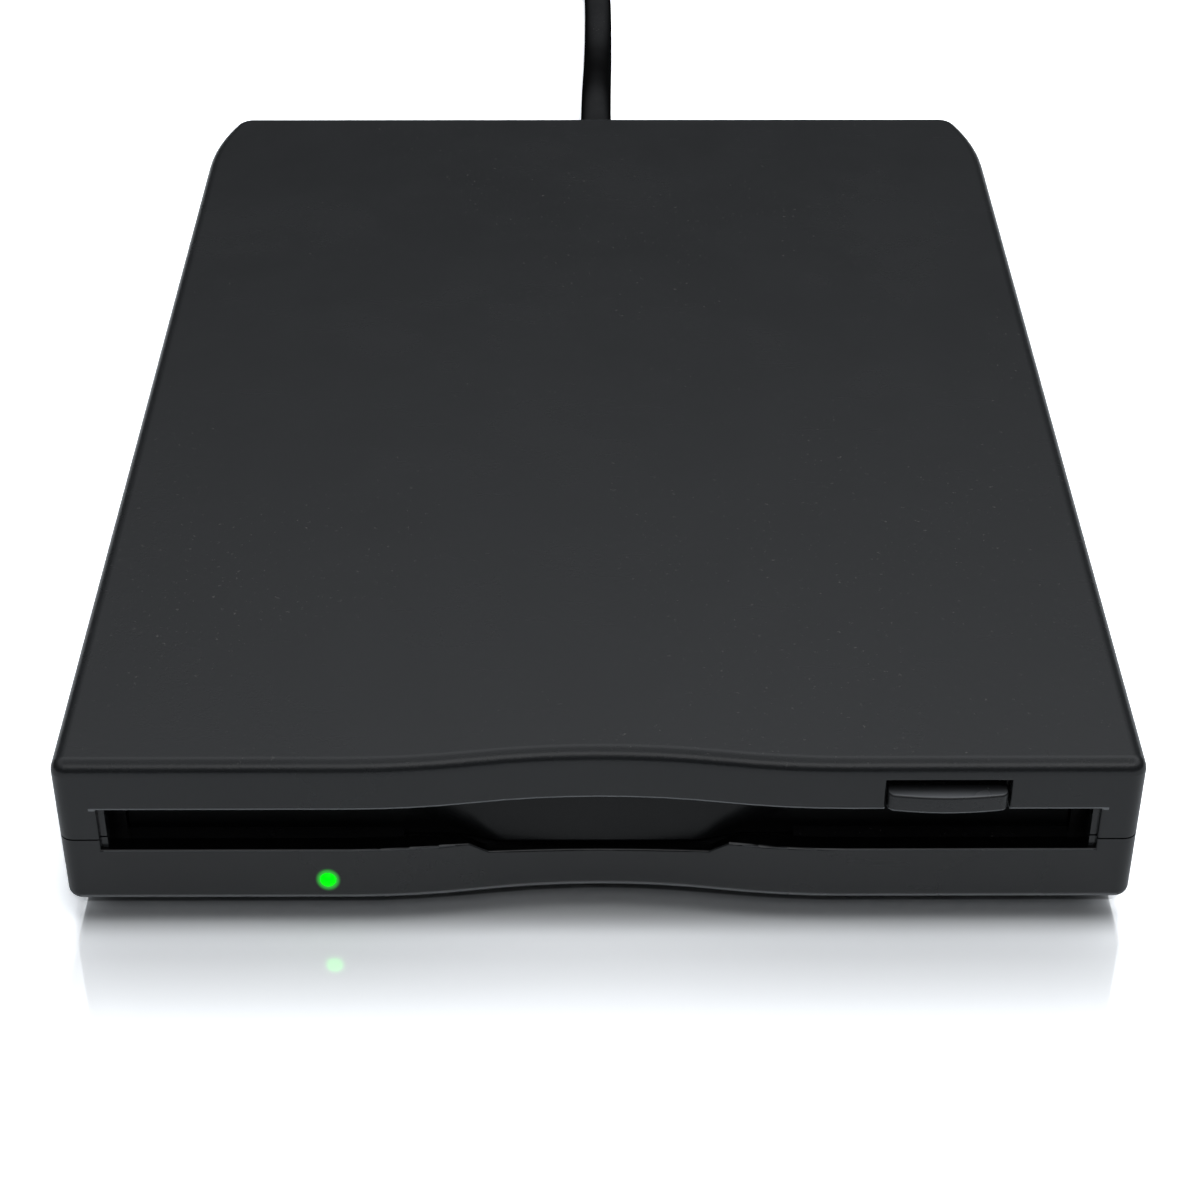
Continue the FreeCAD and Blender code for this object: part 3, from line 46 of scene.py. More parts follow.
FOOT_EDGE_Z = 3.25 * MM
FRONT_Y = -71.0 * MM
BUTTON_X = 33.3 * MM
BUTTON_CLEAR = 5.95 * MM        # from the button's middle to where the slot's edge goes on
BUTTON_EDGE_Z = 14.62 * MM


# ---------------------------------------------------------------- camera
def make_camera():
    """The camera looks down at the front of the drive."""
    data = bpy.data.cameras.new("camera")
    data.lens = 77.53
    data.sensor_width = 36.0
    data.clip_start = 0.01
    data.clip_end = 20.0
    camera = bpy.data.objects.new("camera", data)
    camera.location = (-0.6 * MM, -259.94 * MM, 174.87 * MM)
    camera.rotation_euler = [math.radians(angle) for angle in (54.323, -0.037, -0.185)]
    bpy.context.scene.collection.objects.link(camera)
    bpy.context.scene.camera = camera


# ---------------------------------------------------------------- the lead
LEAD_DIAMETER = 4.4 * MM
RELIEF_END = (0.0, 84.0, 11.0)
LEAD_ROUTE = (
    RELIEF_END,
    (0.05, 93.5, 10.7),
    (0.15, 105.0, 8.6),
    (0.3, 117.5, 5.5),
    (0.42, 130.0, 3.1),
    (0.5, 142.0, 2.2),
    (0.5, 153.0, 2.2),
    (0.2, 163.5, 2.2),
    (-1.7, 175.0, 2.2),
    (-5.7, 185.2, 2.2),
    (-10.11, 194.69, 2.2),
)
TAIL_ROUTE = (
    (12.0, 229.4, 6.6),
    (22.0, 229.4, 6.3),
    (31.3, 226.1, 5.0),
    (38.9, 220.1, 3.8),
    (43.9, 212.2, 3.4),
    (46.2, 203.7, 3.7),
    (46.6, 197.5, 4.0),
)
COIL_CENTRE = (12.0, 205.0)
COIL_RADIUS = 24.4
COIL_START = 205.0
COIL_SWEEP = 1195.0
COIL_STEP = 15.0
TURN_GAP = 4.4


def eased(value, start, end):
    """0 before start, 1 after end, and a smooth rise between them."""
    share = min(max((value - start) / (end - start), 0.0), 1.0)
    return share * share * (3.0 - 2.0 * share)


def coil_points():
    """Turns wound clockwise: outer, inner, then up and outer again, each a diameter apart."""
    points = []
    steps = int(COIL_SWEEP / COIL_STEP)
    for index in range(1, steps + 1):
        swept = COIL_SWEEP * index / (steps + 1)
        inward = eased(swept, 270.0, 360.0)
        upward = eased(swept, 585.0, 675.0)
        outward = eased(swept, 900.0, 990.0)
        radius = COIL_RADIUS - TURN_GAP * (inward - outward)
        angle = math.radians(COIL_START - swept)
        points.append((COIL_CENTRE[0] + radius * math.cos(angle),
                       COIL_CENTRE[1] + radius * math.sin(angle),
                       TURN_GAP / 2 + TURN_GAP * upward))
    return points


def make_lead():
    """One smooth curve from the strain relief, through the coil, to the plug."""
    route = list(LEAD_ROUTE) + coil_points() + list(TAIL_ROUTE)
    curve = bpy.data.curves.new("usb_lead", "CURVE")
    curve.dimensions = "3D"
    curve.bevel_depth = 1.0         # times each point's radius, which also keeps the curve's box small
    curve.bevel_resolution = 6
    curve.resolution_u = 6
    spline = curve.splines.new("NURBS")
    spline.points.add(len(route) - 1)
    for point, place in zip(spline.points, route):
        point.co = (place[0] * MM, place[1] * MM, place[2] * MM, 1.0)
        point.radius = LEAD_DIAMETER / 2
    spline.order_u = 3
    spline.use_endpoint_u = True
    lead = bpy.data.objects.new("usb_lead", curve)
    bpy.context.scene.collection.objects.link(lead)
    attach(lead, "case")
    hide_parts("usb_cable", "usb_cable_coil", "usb_cable_tail")
    return lead


# ---------------------------------------------------------------- node helpers
def add_node(tree, kind, **settings):
    """A node of this kind, with its plain settings."""
    made = tree.nodes.new(kind)
    for name, value in settings.items():
        setattr(made, name, value)
    return made


def math_node(tree, operation, first, second=None, clamp=False):
    """A Math node; each term is a number or a socket. Gives its output socket."""
    made = add_node(tree, "ShaderNodeMath", operation=operation, use_clamp=clamp)
    for slot, term in enumerate((first, second)):
        if term is None:
            continue
        if isinstance(term, (int, float)):
            made.inputs[slot].default_value = term
        else:
            tree.links.new(term, made.inputs[slot])
    return made.outputs[0]


def fade(tree, value, low, high):
    """0 where value is at low, 1 where it is at high, and a smooth step between."""
    made = add_node(tree, "ShaderNodeMapRange", interpolation_type="SMOOTHSTEP")
    tree.links.new(value, made.inputs["Value"])
    for name, term in (("From Min", low), ("From Max", high)):
        if isinstance(term, (int, float)):
            made.inputs[name].default_value = term
        else:
            tree.links.new(term, made.inputs[name])
    return made.outputs["Result"]


def blend_colours(tree, share, first, second):
    """A colour between first and second; each is a socket or a red, green, blue tuple."""
    made = add_node(tree, "ShaderNodeMix", data_type="RGBA")
    tree.links.new(share, made.inputs["Factor"])
    for name, term in (("A", first), ("B", second)):
        socket = [entry for entry in made.inputs if entry.name == name and entry.type == "RGBA"][0]
        if isinstance(term, tuple):
            socket.default_value = (*term, 1.0)
        else:
            tree.links.new(term, socket)
    return [entry for entry in made.outputs if entry.type == "RGBA"][0]


def place_on_piece(tree):
    """Object coordinates of the piece, in metres."""
    return add_node(tree, "ShaderNodeTexCoord").outputs["Object"]


def split_place(tree):
    """Object coordinates of the piece as X, Y and Z, each a socket by its name."""
    place = add_node(tree, "ShaderNodeSeparateXYZ")
    tree.links.new(place_on_piece(tree), place.inputs["Vector"])
    return place.outputs


def noise(tree, place, scale, detail=3.0, rough=0.5):
    """Soft noise from 0 to 1, with this many spots in a metre."""
    made = add_node(tree, "ShaderNodeTexNoise")
    tree.links.new(place, made.inputs["Vector"])
    if isinstance(scale, (int, float)):
        made.inputs["Scale"].default_value = scale
    else:
        tree.links.new(scale, made.inputs["Scale"])
    made.inputs["Detail"].default_value = detail
    made.inputs["Roughness"].default_value = rough
    return made.outputs["Fac"]


def start_group(name, inputs, outputs):
    """An effect with named sockets. Gives the group, its inputs and its output node."""
    group = bpy.data.node_groups.new(name, "ShaderNodeTree")
    for socket_name, default in inputs.items():
        socket = group.interface.new_socket(socket_name, in_out="INPUT", socket_type="NodeSocketFloat")
        socket.default_value = default
    for socket_name in outputs:
        group.interface.new_socket(socket_name, in_out="OUTPUT", socket_type="NodeSocketFloat")
    entry = group.nodes.new("NodeGroupInput")
    leave = group.nodes.new("NodeGroupOutput")
    return group, entry, leave


# ---------------------------------------------------------------- shared effects
GLOW_FRONT = (-0.0695, -0.0702)     # Y from which a thing is on the front face
LINE_FRONT = (-0.0685, -0.0689)


def make_moulded_grain():
    """The fine spark-eroded texture of a moulding, with a few coarser spots in it."""
    group, entry, leave = start_group(
        "moulded_grain", {"Grains per metre": 4000.0, "Coarse share": 0.3}, ("Height", "Tone"))
    place = place_on_piece(group)
    fine = noise(group, place, entry.outputs["Grains per metre"], 2.0, 0.6)
    cells = add_node(group, "ShaderNodeTexVoronoi", feature="SMOOTH_F1")
    group.links.new(place, cells.inputs["Vector"])
    coarser = math_node(group, "MULTIPLY", entry.outputs["Grains per metre"], 0.55)
    group.links.new(coarser, cells.inputs["Scale"])
    coarse = math_node(group, "MULTIPLY", cells.outputs["Distance"], entry.outputs["Coarse share"])
    height = math_node(group, "ADD", fine, coarse)
    group.links.new(height, leave.inputs["Height"])
    tone = noise(group, place, 90.0, 4.0, 0.6)
    group.links.new(fade(group, tone, 0.3, 0.7), leave.inputs["Tone"])
    return group


def make_handling_marks():
    """Soft smudges where hands hold a thing, and hair scratches across them."""
    group, entry, leave = start_group(
        "handling_marks", {"Smudges per metre": 45.0, "Scratch share": 0.4}, ("Smudge", "Scratch"))
    place = place_on_piece(group)
    smudge = noise(group, place, entry.outputs["Smudges per metre"], 5.0, 0.55)
    group.links.new(fade(group, smudge, 0.42, 0.68), leave.inputs["Smudge"])
    turned = add_node(group, "ShaderNodeMapping")
    turned.inputs["Rotation"].default_value = (0.3, 0.5, 0.9)
    turned.inputs["Scale"].default_value = (1.0, 38.0, 6.0)
    group.links.new(place, turned.inputs["Vector"])
    hair = noise(group, turned.outputs["Vector"], 60.0, 4.0, 0.6)
    line = fade(group, hair, 0.66, 0.72)
    scratch = math_node(group, "MULTIPLY", line, entry.outputs["Scratch share"])
    group.links.new(scratch, leave.inputs["Scratch"])
    return group


def make_settled_dust():
    """Pale specks that lie on whatever faces up."""
    group, entry, leave = start_group("settled_dust", {"Amount": 0.3, "Specks per metre": 1500.0}, ("Dust",))
    place = place_on_piece(group)
    facing = add_node(group, "ShaderNodeSeparateXYZ")
    group.links.new(add_node(group, "ShaderNodeNewGeometry").outputs["Normal"], facing.inputs["Vector"])
    upward = fade(group, facing.outputs["Z"], 0.5, 0.95)
    specks = noise(group, place, entry.outputs["Specks per metre"], 3.0, 0.7)
    spotted = fade(group, specks, 0.62, 0.78)
    drift = fade(group, noise(group, place, 35.0, 3.0, 0.5), 0.35, 0.75)
    lying = math_node(group, "MULTIPLY", math_node(group, "MULTIPLY", spotted, drift), upward)
    group.links.new(math_node(group, "MULTIPLY", lying, entry.outputs["Amount"]), leave.inputs["Dust"])
    return group


def make_edge_wear():
    """A mask along the outer edges, broken up where hands have not rubbed them."""
    group, entry, leave = start_group("edge_wear", {"Width": 0.0003, "Amount": 0.5}, ("Wear",))
    place = place_on_piece(group)
    rounded = add_node(group, "ShaderNodeBevel", samples=4)
    group.links.new(entry.outputs["Width"], rounded.inputs["Radius"])
    true_normal = add_node(group, "ShaderNodeNewGeometry").outputs["Normal"]
    turn = add_node(group, "ShaderNodeVectorMath", operation="DOT_PRODUCT")
    group.links.new(rounded.outputs["Normal"], turn.inputs[0])
    group.links.new(true_normal, turn.inputs[1])
    along = fade(group, turn.outputs["Value"], 0.995, 0.9)
    broken = fade(group, noise(group, place, 500.0, 4.0, 0.65), 0.4, 0.62)
    worn = math_node(group, "MULTIPLY", along, broken)
    group.links.new(math_node(group, "MULTIPLY", worn, entry.outputs["Amount"]), leave.inputs["Wear"])
    return group


def make_drawn_lines():
    """Lines left by rolling, drawing or turning: noise squeezed by its own amount on each axis."""
    group, entry, leave = start_group(
        "drawn_lines", {"Across X": 1.0, "Across Y": 0.03, "Across Z": 1.0, "Lines per metre": 9000.0},
        ("Height", "Tone"))
    place = place_on_piece(group)
    stretch = add_node(group, "ShaderNodeCombineXYZ")
    for axis in "XYZ":
        group.links.new(entry.outputs["Across " + axis], stretch.inputs[axis])
    pulled = add_node(group, "ShaderNodeVectorMath", operation="MULTIPLY")
    group.links.new(place, pulled.inputs[0])
    group.links.new(stretch.outputs["Vector"], pulled.inputs[1])
    lines = noise(group, pulled.outputs["Vector"], entry.outputs["Lines per metre"], 3.0, 0.7)
    group.links.new(lines, leave.inputs["Height"])
    clouds = noise(group, place, 160.0, 4.0, 0.6)
    both = math_node(group, "MULTIPLY", fade(group, clouds, 0.25, 0.75), fade(group, lines, 0.3, 0.7))
    group.links.new(both, leave.inputs["Tone"])
    return group


def make_spangle():
    """The frosty crystals of galvanised sheet: each cell has its own brightness."""
    group, entry, leave = start_group("zinc_spangle", {"Crystals per metre": 420.0}, ("Tone", "Height"))
    place = place_on_piece(group)
    wobble = add_node(group, "ShaderNodeTexNoise")
    wobble.inputs["Scale"].default_value = 900.0
    group.links.new(place, wobble.inputs["Vector"])
    shift = add_node(group, "ShaderNodeVectorMath", operation="SCALE")
    shift.inputs["Scale"].default_value = 0.0012
    group.links.new(wobble.outputs["Color"], shift.inputs[0])
    moved = add_node(group, "ShaderNodeVectorMath", operation="ADD")
    group.links.new(place, moved.inputs[0])
    group.links.new(shift.outputs["Vector"], moved.inputs[1])
    cells = add_node(group, "ShaderNodeTexVoronoi")
    group.links.new(moved.outputs["Vector"], cells.inputs["Vector"])
    group.links.new(entry.outputs["Crystals per metre"], cells.inputs["Scale"])
    tone = add_node(group, "ShaderNodeSeparateColor")
    group.links.new(cells.outputs["Color"], tone.inputs["Color"])
    group.links.new(tone.outputs["Red"], leave.inputs["Tone"])
    group.links.new(cells.outputs["Distance"], leave.inputs["Height"])
    return group


def make_board_routes():
    """Copper routes under the solder mask: in each cell they run one way, with a pad here and there."""
    group, entry, leave = start_group("board_routes", {"Cells per metre": 260.0}, ("Route", "Pad"))
    place = place_on_piece(group)
    scaled = add_node(group, "ShaderNodeVectorMath", operation="SCALE")
    group.links.new(place, scaled.inputs[0])
    group.links.new(entry.outputs["Cells per metre"], scaled.inputs["Scale"])
    flat = add_node(group, "ShaderNodeVectorMath", operation="MULTIPLY")
    flat.inputs[1].default_value = (1.0, 1.0, 0.0)
    group.links.new(scaled.outputs["Vector"], flat.inputs[0])
    cell = add_node(group, "ShaderNodeVectorMath", operation="FLOOR")
    group.links.new(flat.outputs["Vector"], cell.inputs[0])
    draw = add_node(group, "ShaderNodeTexWhiteNoise", noise_dimensions="3D")
    group.links.new(cell.outputs["Vector"], draw.inputs["Vector"])
    parts = add_node(group, "ShaderNodeSeparateXYZ")
    group.links.new(flat.outputs["Vector"], parts.inputs["Vector"])
    stripes = []
    for axis in "XY":
        share = math_node(group, "FRACT", math_node(group, "MULTIPLY", parts.outputs[axis], 4.0))
        off_centre = math_node(group, "ABSOLUTE", math_node(group, "SUBTRACT", share, 0.5))
        stripes.append(fade(group, off_centre, 0.24, 0.18))
    sideways = math_node(group, "GREATER_THAN", draw.outputs["Value"], 0.55)
    chosen = add_node(group, "ShaderNodeMix", data_type="FLOAT")
    group.links.new(sideways, chosen.inputs["Factor"])
    group.links.new(stripes[0], chosen.inputs[2])
    group.links.new(stripes[1], chosen.inputs[3])
    group.links.new(chosen.outputs[0], leave.inputs["Route"])
    within = add_node(group, "ShaderNodeVectorMath", operation="FRACTION")
    group.links.new(flat.outputs["Vector"], within.inputs[0])
    middle = add_node(group, "ShaderNodeVectorMath", operation="DISTANCE")
    middle.inputs[1].default_value = (0.5, 0.5, 0.0)
    group.links.new(within.outputs["Vector"], middle.inputs[0])
    round_pad = fade(group, middle.outputs["Value"], 0.2, 0.16)
    some = math_node(group, "LESS_THAN", draw.outputs["Value"], 0.16)
    group.links.new(math_node(group, "MULTIPLY", round_pad, some), leave.inputs["Pad"])
    return group


def make_light_glow():
    """Full on the activity light, then falling off round it on the front face; on the case this is a painted
    glow.
    """
    group, entry, leave = start_group("light_glow", {"Inner": 0.0008, "Outer": 0.0011}, ("Glow",))
    place = split_place(group)
    sideways = math_node(group, "SUBTRACT", place["X"], LIGHT_X)
    upwards = math_node(group, "MULTIPLY", math_node(group, "SUBTRACT", place["Z"], LIGHT_Z), 0.85)
    squared = math_node(group, "ADD", math_node(group, "MULTIPLY", sideways, sideways),
                        math_node(group, "MULTIPLY", upwards, upwards))
    off_centre = math_node(group, "SQRT", squared)
    near = fade(group, off_centre, entry.outputs["Outer"], entry.outputs["Inner"])
    on_front = fade(group, place["Y"], *GLOW_FRONT)
    group.links.new(math_node(group, "MULTIPLY", near, on_front), leave.inputs["Glow"])
    return group


def make_edge_highlight():
    """A fine painted highlight line at one height of the front face, between two distances from its middle.
    """
    group, entry, leave = start_group(
        "edge_highlight", {"Height": 0.0145, "Width": 0.0002, "From": -1.0, "To": 1.0}, ("Line",))
    place = split_place(group)
    off_edge = math_node(group, "SUBTRACT", place["Z"], entry.outputs["Height"])
    off_edge = math_node(group, "ABSOLUTE", off_edge)
    inner = math_node(group, "MULTIPLY", entry.outputs["Width"], 0.4)
    line = fade(group, off_edge, entry.outputs["Width"], inner)
    on_front = fade(group, place["Y"], *LINE_FRONT)
    aside = math_node(group, "ABSOLUTE", place["X"])
    begun = math_node(group, "GREATER_THAN", aside, entry.outputs["From"])
    ended = math_node(group, "LESS_THAN", aside, entry.outputs["To"])
    within = math_node(group, "MULTIPLY", begun, ended)
    shown = math_node(group, "MULTIPLY", math_node(group, "MULTIPLY", line, on_front), within)
    group.links.new(shown, leave.inputs["Line"])
    return group


def make_shaded_slot_ledge():
    """The upward faces of the front wall below the slot, which every disk slides over: painted shade goes
    there, and a smoother finish.
    """
    group, entry, leave = start_group("shaded_slot_ledge", {"Top": 0.0097, "Back": -0.066, "To": 0.0482}, ("Ledge",))
    place = split_place(group)
    facing = add_node(group, "ShaderNodeSeparateXYZ")
    group.links.new(add_node(group, "ShaderNodeTexCoord").outputs["Normal"], facing.inputs["Vector"])
    upward = fade(group, facing.outputs["Z"], 0.55, 0.8)
    aside = math_node(group, "ABSOLUTE", place["X"])
    shown = math_node(group, "MULTIPLY", upward, math_node(group, "LESS_THAN", aside, entry.outputs["To"]))
    low = math_node(group, "LESS_THAN", place["Z"], entry.outputs["Top"])
    in_front = math_node(group, "LESS_THAN", place["Y"], entry.outputs["Back"])
    shown = math_node(group, "MULTIPLY", shown, math_node(group, "MULTIPLY", low, in_front))
    group.links.new(shown, leave.inputs["Ledge"])
    return group


def make_lit_button_top():
    """Painted light on the button's top: paler towards its front, darker at its back, which is in shade."""
    group, entry, leave = start_group(
        "lit_button_top", {"Back": -0.0697, "Front": -0.0713, "Height": 0.01649}, ("Paleness",))
    place = split_place(group)
    forward = add_node(group, "ShaderNodeMapRange")
    group.links.new(place["Y"], forward.inputs["Value"])
    group.links.new(entry.outputs["Back"], forward.inputs["From Min"])
    group.links.new(entry.outputs["Front"], forward.inputs["From Max"])
    squared = math_node(group, "POWER", forward.outputs["Result"], 1.3)
    on_top = math_node(group, "GREATER_THAN", place["Z"], entry.outputs["Height"])
    group.links.new(math_node(group, "MULTIPLY", squared, on_top), leave.inputs["Paleness"])
    return group


EFFECTS = {}


def make_effects():
    """Every shared effect, by its name."""
    for maker in (make_moulded_grain, make_handling_marks, make_settled_dust, make_edge_wear,
                  make_drawn_lines, make_spangle, make_board_routes, make_light_glow, make_edge_highlight,
                  make_shaded_slot_ledge, make_lit_button_top):
        group = maker()
        EFFECTS[group.name] = group


def use_group(tree, effect, **values):
    """Puts an effect into a material with this material's own values."""
    made = add_node(tree, "ShaderNodeGroup", node_tree=EFFECTS[effect])
    for name, value in values.items():
        made.inputs[name.replace("_", " ")].default_value = value
    return made


# ---------------------------------------------------------------- materials
def start_material(name, roughness=0.5, metallic=0.0, specular=0.5):
    """An empty material with its shader. Constants go on the shader itself."""
    material = bpy.data.materials.new(name)
    material.use_nodes = True
    tree = material.node_tree
    shader = tree.nodes["Principled BSDF"]
    shader.inputs["Roughness"].default_value = roughness
    shader.inputs["Metallic"].default_value = metallic
    shader.inputs["Specular IOR Level"].default_value = specular
    return material, tree, shader


def raise_surface(tree, shader, height, distance, strength=1.0):
    """Feeds a height into the shader's normal; distance is in metres."""
    bump = add_node(tree, "ShaderNodeBump")
    bump.inputs["Strength"].default_value = strength
    bump.inputs["Distance"].default_value = distance
    tree.links.new(height, bump.inputs["Height"])
    tree.links.new(bump.outputs["Normal"], shader.inputs["Normal"])


def span(tree, value, low, high):
    """Brings a value from 0 to 1 into the range from low to high."""
    return math_node(tree, "ADD", math_node(tree, "MULTIPLY", value, high - low), low)


def moulded_plastic(name, colour, worn, rough=(0.25, 0.29), specular=0.45, grains=4000.0, depth=0.000012,
                    wear=0.1, dust=0.25, smudge=0.03):
    """A moulding: grain, slow changes of tone, smudges, dust on top and paler rubbed edges."""
    material, tree, shader = start_material(name, specular=specular)
    grain = use_group(tree, "moulded_grain", Grains_per_metre=grains)
    marks = use_group(tree, "handling_marks")
    lying = use_group(tree, "settled_dust", Amount=dust)
    rubbed = use_group(tree, "edge_wear", Amount=wear)
    darker = tuple(part * 0.93 for part in colour)
    base = blend_colours(tree, grain.outputs["Tone"], darker, colour)
    base = blend_colours(tree, rubbed.outputs["Wear"], base, worn)
    base = blend_colours(tree, lying.outputs["Dust"], base, (0.32, 0.31, 0.29))
    tree.links.new(base, shader.inputs["Base Color"])
    gloss = span(tree, grain.outputs["Tone"], rough[0], rough[1])
    gloss = math_node(tree, "SUBTRACT", gloss, math_node(tree, "MULTIPLY", marks.outputs["Smudge"], smudge))
    gloss = math_node(tree, "ADD", gloss, math_node(tree, "MULTIPLY", marks.outputs["Scratch"], 0.05))
    tree.links.new(gloss, shader.inputs["Roughness"])
    raise_surface(tree, shader, grain.outputs["Height"], depth)
    return material


def paint_over(tree, shader, share, colour):
    """Lays one more colour over what already drives the base colour."""
    plain = shader.inputs["Base Color"].links[0].from_socket
    tree.links.new(blend_colours(tree, share, plain, colour), shader.inputs["Base Color"])


def case_plastic(name, colour):
    """The case's own moulding, with painted highlight lines and painted shade on its front, and a painted
    glow of the activity light round it.
    """
    material = moulded_plastic(name, colour, PALE_EDGE)
    tree = material.node_tree
    shader = tree.nodes["Principled BSDF"]
    place = split_place(tree)
    off_button = math_node(tree, "ABSOLUTE", math_node(tree, "SUBTRACT", place["X"], BUTTON_X))
    clear = math_node(tree, "GREATER_THAN", off_button, BUTTON_CLEAR)
    # painted highlight along the slot's upper edge, kept clear of the button
    upper = use_group(tree, "edge_highlight", Height=SLOT_EDGE_Z, Width=EDGE_WIDTH, To=SLOT_END)
    paint_over(tree, shader, math_node(tree, "MULTIPLY", upper.outputs["Line"], clear), SLOT_EDGE_HIGHLIGHT)
    # painted highlight along the sill's front edge
    sill = use_group(tree, "edge_highlight", Height=SILL_Z, Width=SILL_WIDTH, From=SILL_START, To=SILL_END)
    paint_over(tree, shader, sill.outputs["Line"], SILL_EDGE_HIGHLIGHT)
    # painted shade on the ledge below the slot, which is also made smoother
    ledge = use_group(tree, "shaded_slot_ledge").outputs["Ledge"]
    paint_over(tree, shader, ledge, LEDGE_SHADE)
    gloss = shader.inputs["Roughness"].links[0].from_socket
    smooth = math_node(tree, "MULTIPLY", gloss, span(tree, ledge, 1.0, 0.4))
    tree.links.new(smooth, shader.inputs["Roughness"])
    # painted highlight along the foot of the front face
    foot = use_group(tree, "edge_highlight", Height=FOOT_EDGE_Z, Width=FOOT_WIDTH, To=FOOT_END)
    paint_over(tree, shader, foot.outputs["Line"], FOOT_EDGE_HIGHLIGHT)
    # painted green glow of the activity light on the case round it
    painted_halo = use_group(tree, "light_glow", Inner=HALO_REACH[0], Outer=HALO_REACH[1])
    glow = blend_colours(tree, painted_halo.outputs["Glow"], (0.0, 0.0, 0.0), PAINTED_HALO)
    tree.links.new(glow, shader.inputs["Emission Color"])
    shader.inputs["Emission Strength"].default_value = 1.0
    return material


def button_plastic(name, colour):
    """The button's moulding, with painted light on its top and a painted highlight line along its lower edge.
    """
    material = moulded_plastic(name, colour, PALE_EDGE)
    tree = material.node_tree
    shader = tree.nodes["Principled BSDF"]
    # painted light on the button's top, paler towards its front
    top = use_group(tree, "lit_button_top")
    paint_over(tree, shader, top.outputs["Paleness"], BUTTON_TOP_LIGHT)
    # painted highlight along the button's lower edge
    lower = use_group(tree, "edge_highlight", Height=BUTTON_EDGE_Z, Width=EDGE_WIDTH)
    paint_over(tree, shader, lower.outputs["Line"], SLOT_EDGE_HIGHLIGHT)
    return material


def drawn_metal(name, colour, dark, rough=(0.25, 0.42), across=(1.0, 0.03, 1.0), lines=9000.0, depth=0.000004,
                wear=0.0):
    """Rolled, drawn or turned metal with its own direction of lines."""
    material, tree, shader = start_material(name, metallic=1.0)
    drawn = use_group(tree, "drawn_lines", Across_X=across[0], Across_Y=across[1], Across_Z=across[2],
                      Lines_per_metre=lines)
    base = blend_colours(tree, drawn.outputs["Tone"], dark, colour)
    if wear:
        rubbed = use_group(tree, "edge_wear", Amount=wear, Width=0.0002)
        base = blend_colours(tree, rubbed.outputs["Wear"], base, (0.72, 0.71, 0.69))
    tree.links.new(base, shader.inputs["Base Color"])
    tree.links.new(span(tree, drawn.outputs["Tone"], rough[1], rough[0]), shader.inputs["Roughness"])
    raise_surface(tree, shader, drawn.outputs["Height"], depth)
    return material


def zinc_sheet(name):
    """Galvanised steel sheet."""
    material, tree, shader = start_material(name, metallic=1.0)
    crystals = use_group(tree, "zinc_spangle")
    marks = use_group(tree, "handling_marks", Scratch_share=0.8)
    base = blend_colours(tree, crystals.outputs["Tone"], (0.42, 0.44, 0.46), (0.66, 0.67, 0.68))
    tree.links.new(base, shader.inputs["Base Color"])
    gloss = span(tree, crystals.outputs["Tone"], 0.28, 0.46)
    gloss = math_node(tree, "ADD", gloss, math_node(tree, "MULTIPLY", marks.outputs["Scratch"], 0.2))
    tree.links.new(gloss, shader.inputs["Roughness"])
    raise_surface(tree, shader, crystals.outputs["Height"], 0.000008)
    return material


def circuit_board(name):
    """Green solder mask with copper routes under it and tinned pads."""
    material, tree, shader = start_material(name, specular=0.5)
    routes = use_group(tree, "board_routes")
    grain = use_group(tree, "moulded_grain", Grains_per_metre=2500.0)
    base = blend_colours(tree, routes.outputs["Route"], (0.006, 0.075, 0.028), (0.015, 0.15, 0.055))
    base = blend_colours(tree, routes.outputs["Pad"], base, (0.72, 0.7, 0.64))
    tree.links.new(base, shader.inputs["Base Color"])
    tree.links.new(routes.outputs["Pad"], shader.inputs["Metallic"])
    tree.links.new(span(tree, grain.outputs["Tone"], 0.22, 0.34), shader.inputs["Roughness"])
    raised = math_node(tree, "ADD", routes.outputs["Route"], routes.outputs["Pad"])
    raise_surface(tree, shader, raised, 0.00003)
    return material


def lit_lens(name):
    """The light pipe: bright inside, dimmer and paler at its rim."""
    material, tree, shader = start_material(name, roughness=0.3, specular=0.06)
    core = use_group(tree, "light_glow", Inner=0.00066, Outer=0.00088)
    grain = use_group(tree, "moulded_grain", Grains_per_metre=3000.0)
    base = blend_colours(tree, grain.outputs["Tone"], (0.0, 0.14, 0.005), (0.0, 0.18, 0.01))
    tree.links.new(base, shader.inputs["Base Color"])
    light = blend_colours(tree, core.outputs["Glow"], (0.02, 0.45, 0.03), (0.0, 1.0, 0.0))
    tree.links.new(light, shader.inputs["Emission Color"])
    shader.inputs["Emission Strength"].default_value = 1.1
    raise_surface(tree, shader, grain.outputs["Height"], 0.000004)
    return material


def wound_wire(name):
    """Enamelled copper turns, side by side."""
    material, tree, shader = start_material(name, metallic=1.0, roughness=0.3)
    turns = add_node(tree, "ShaderNodeTexWave", wave_type="BANDS", bands_direction="Z")
    turns.inputs["Scale"].default_value = 1300.0
    turns.inputs["Distortion"].default_value = 0.6
    turns.inputs["Detail"].default_value = 1.0
    tree.links.new(place_on_piece(tree), turns.inputs["Vector"])
    base = blend_colours(tree, turns.outputs["Fac"], (0.30, 0.09, 0.03), (0.80, 0.36, 0.17))
    tree.links.new(base, shader.inputs["Base Color"])
    tree.links.new(span(tree, turns.outputs["Fac"], 0.4, 0.22), shader.inputs["Roughness"])
    raise_surface(tree, shader, turns.outputs["Fac"], 0.00005)
    return material


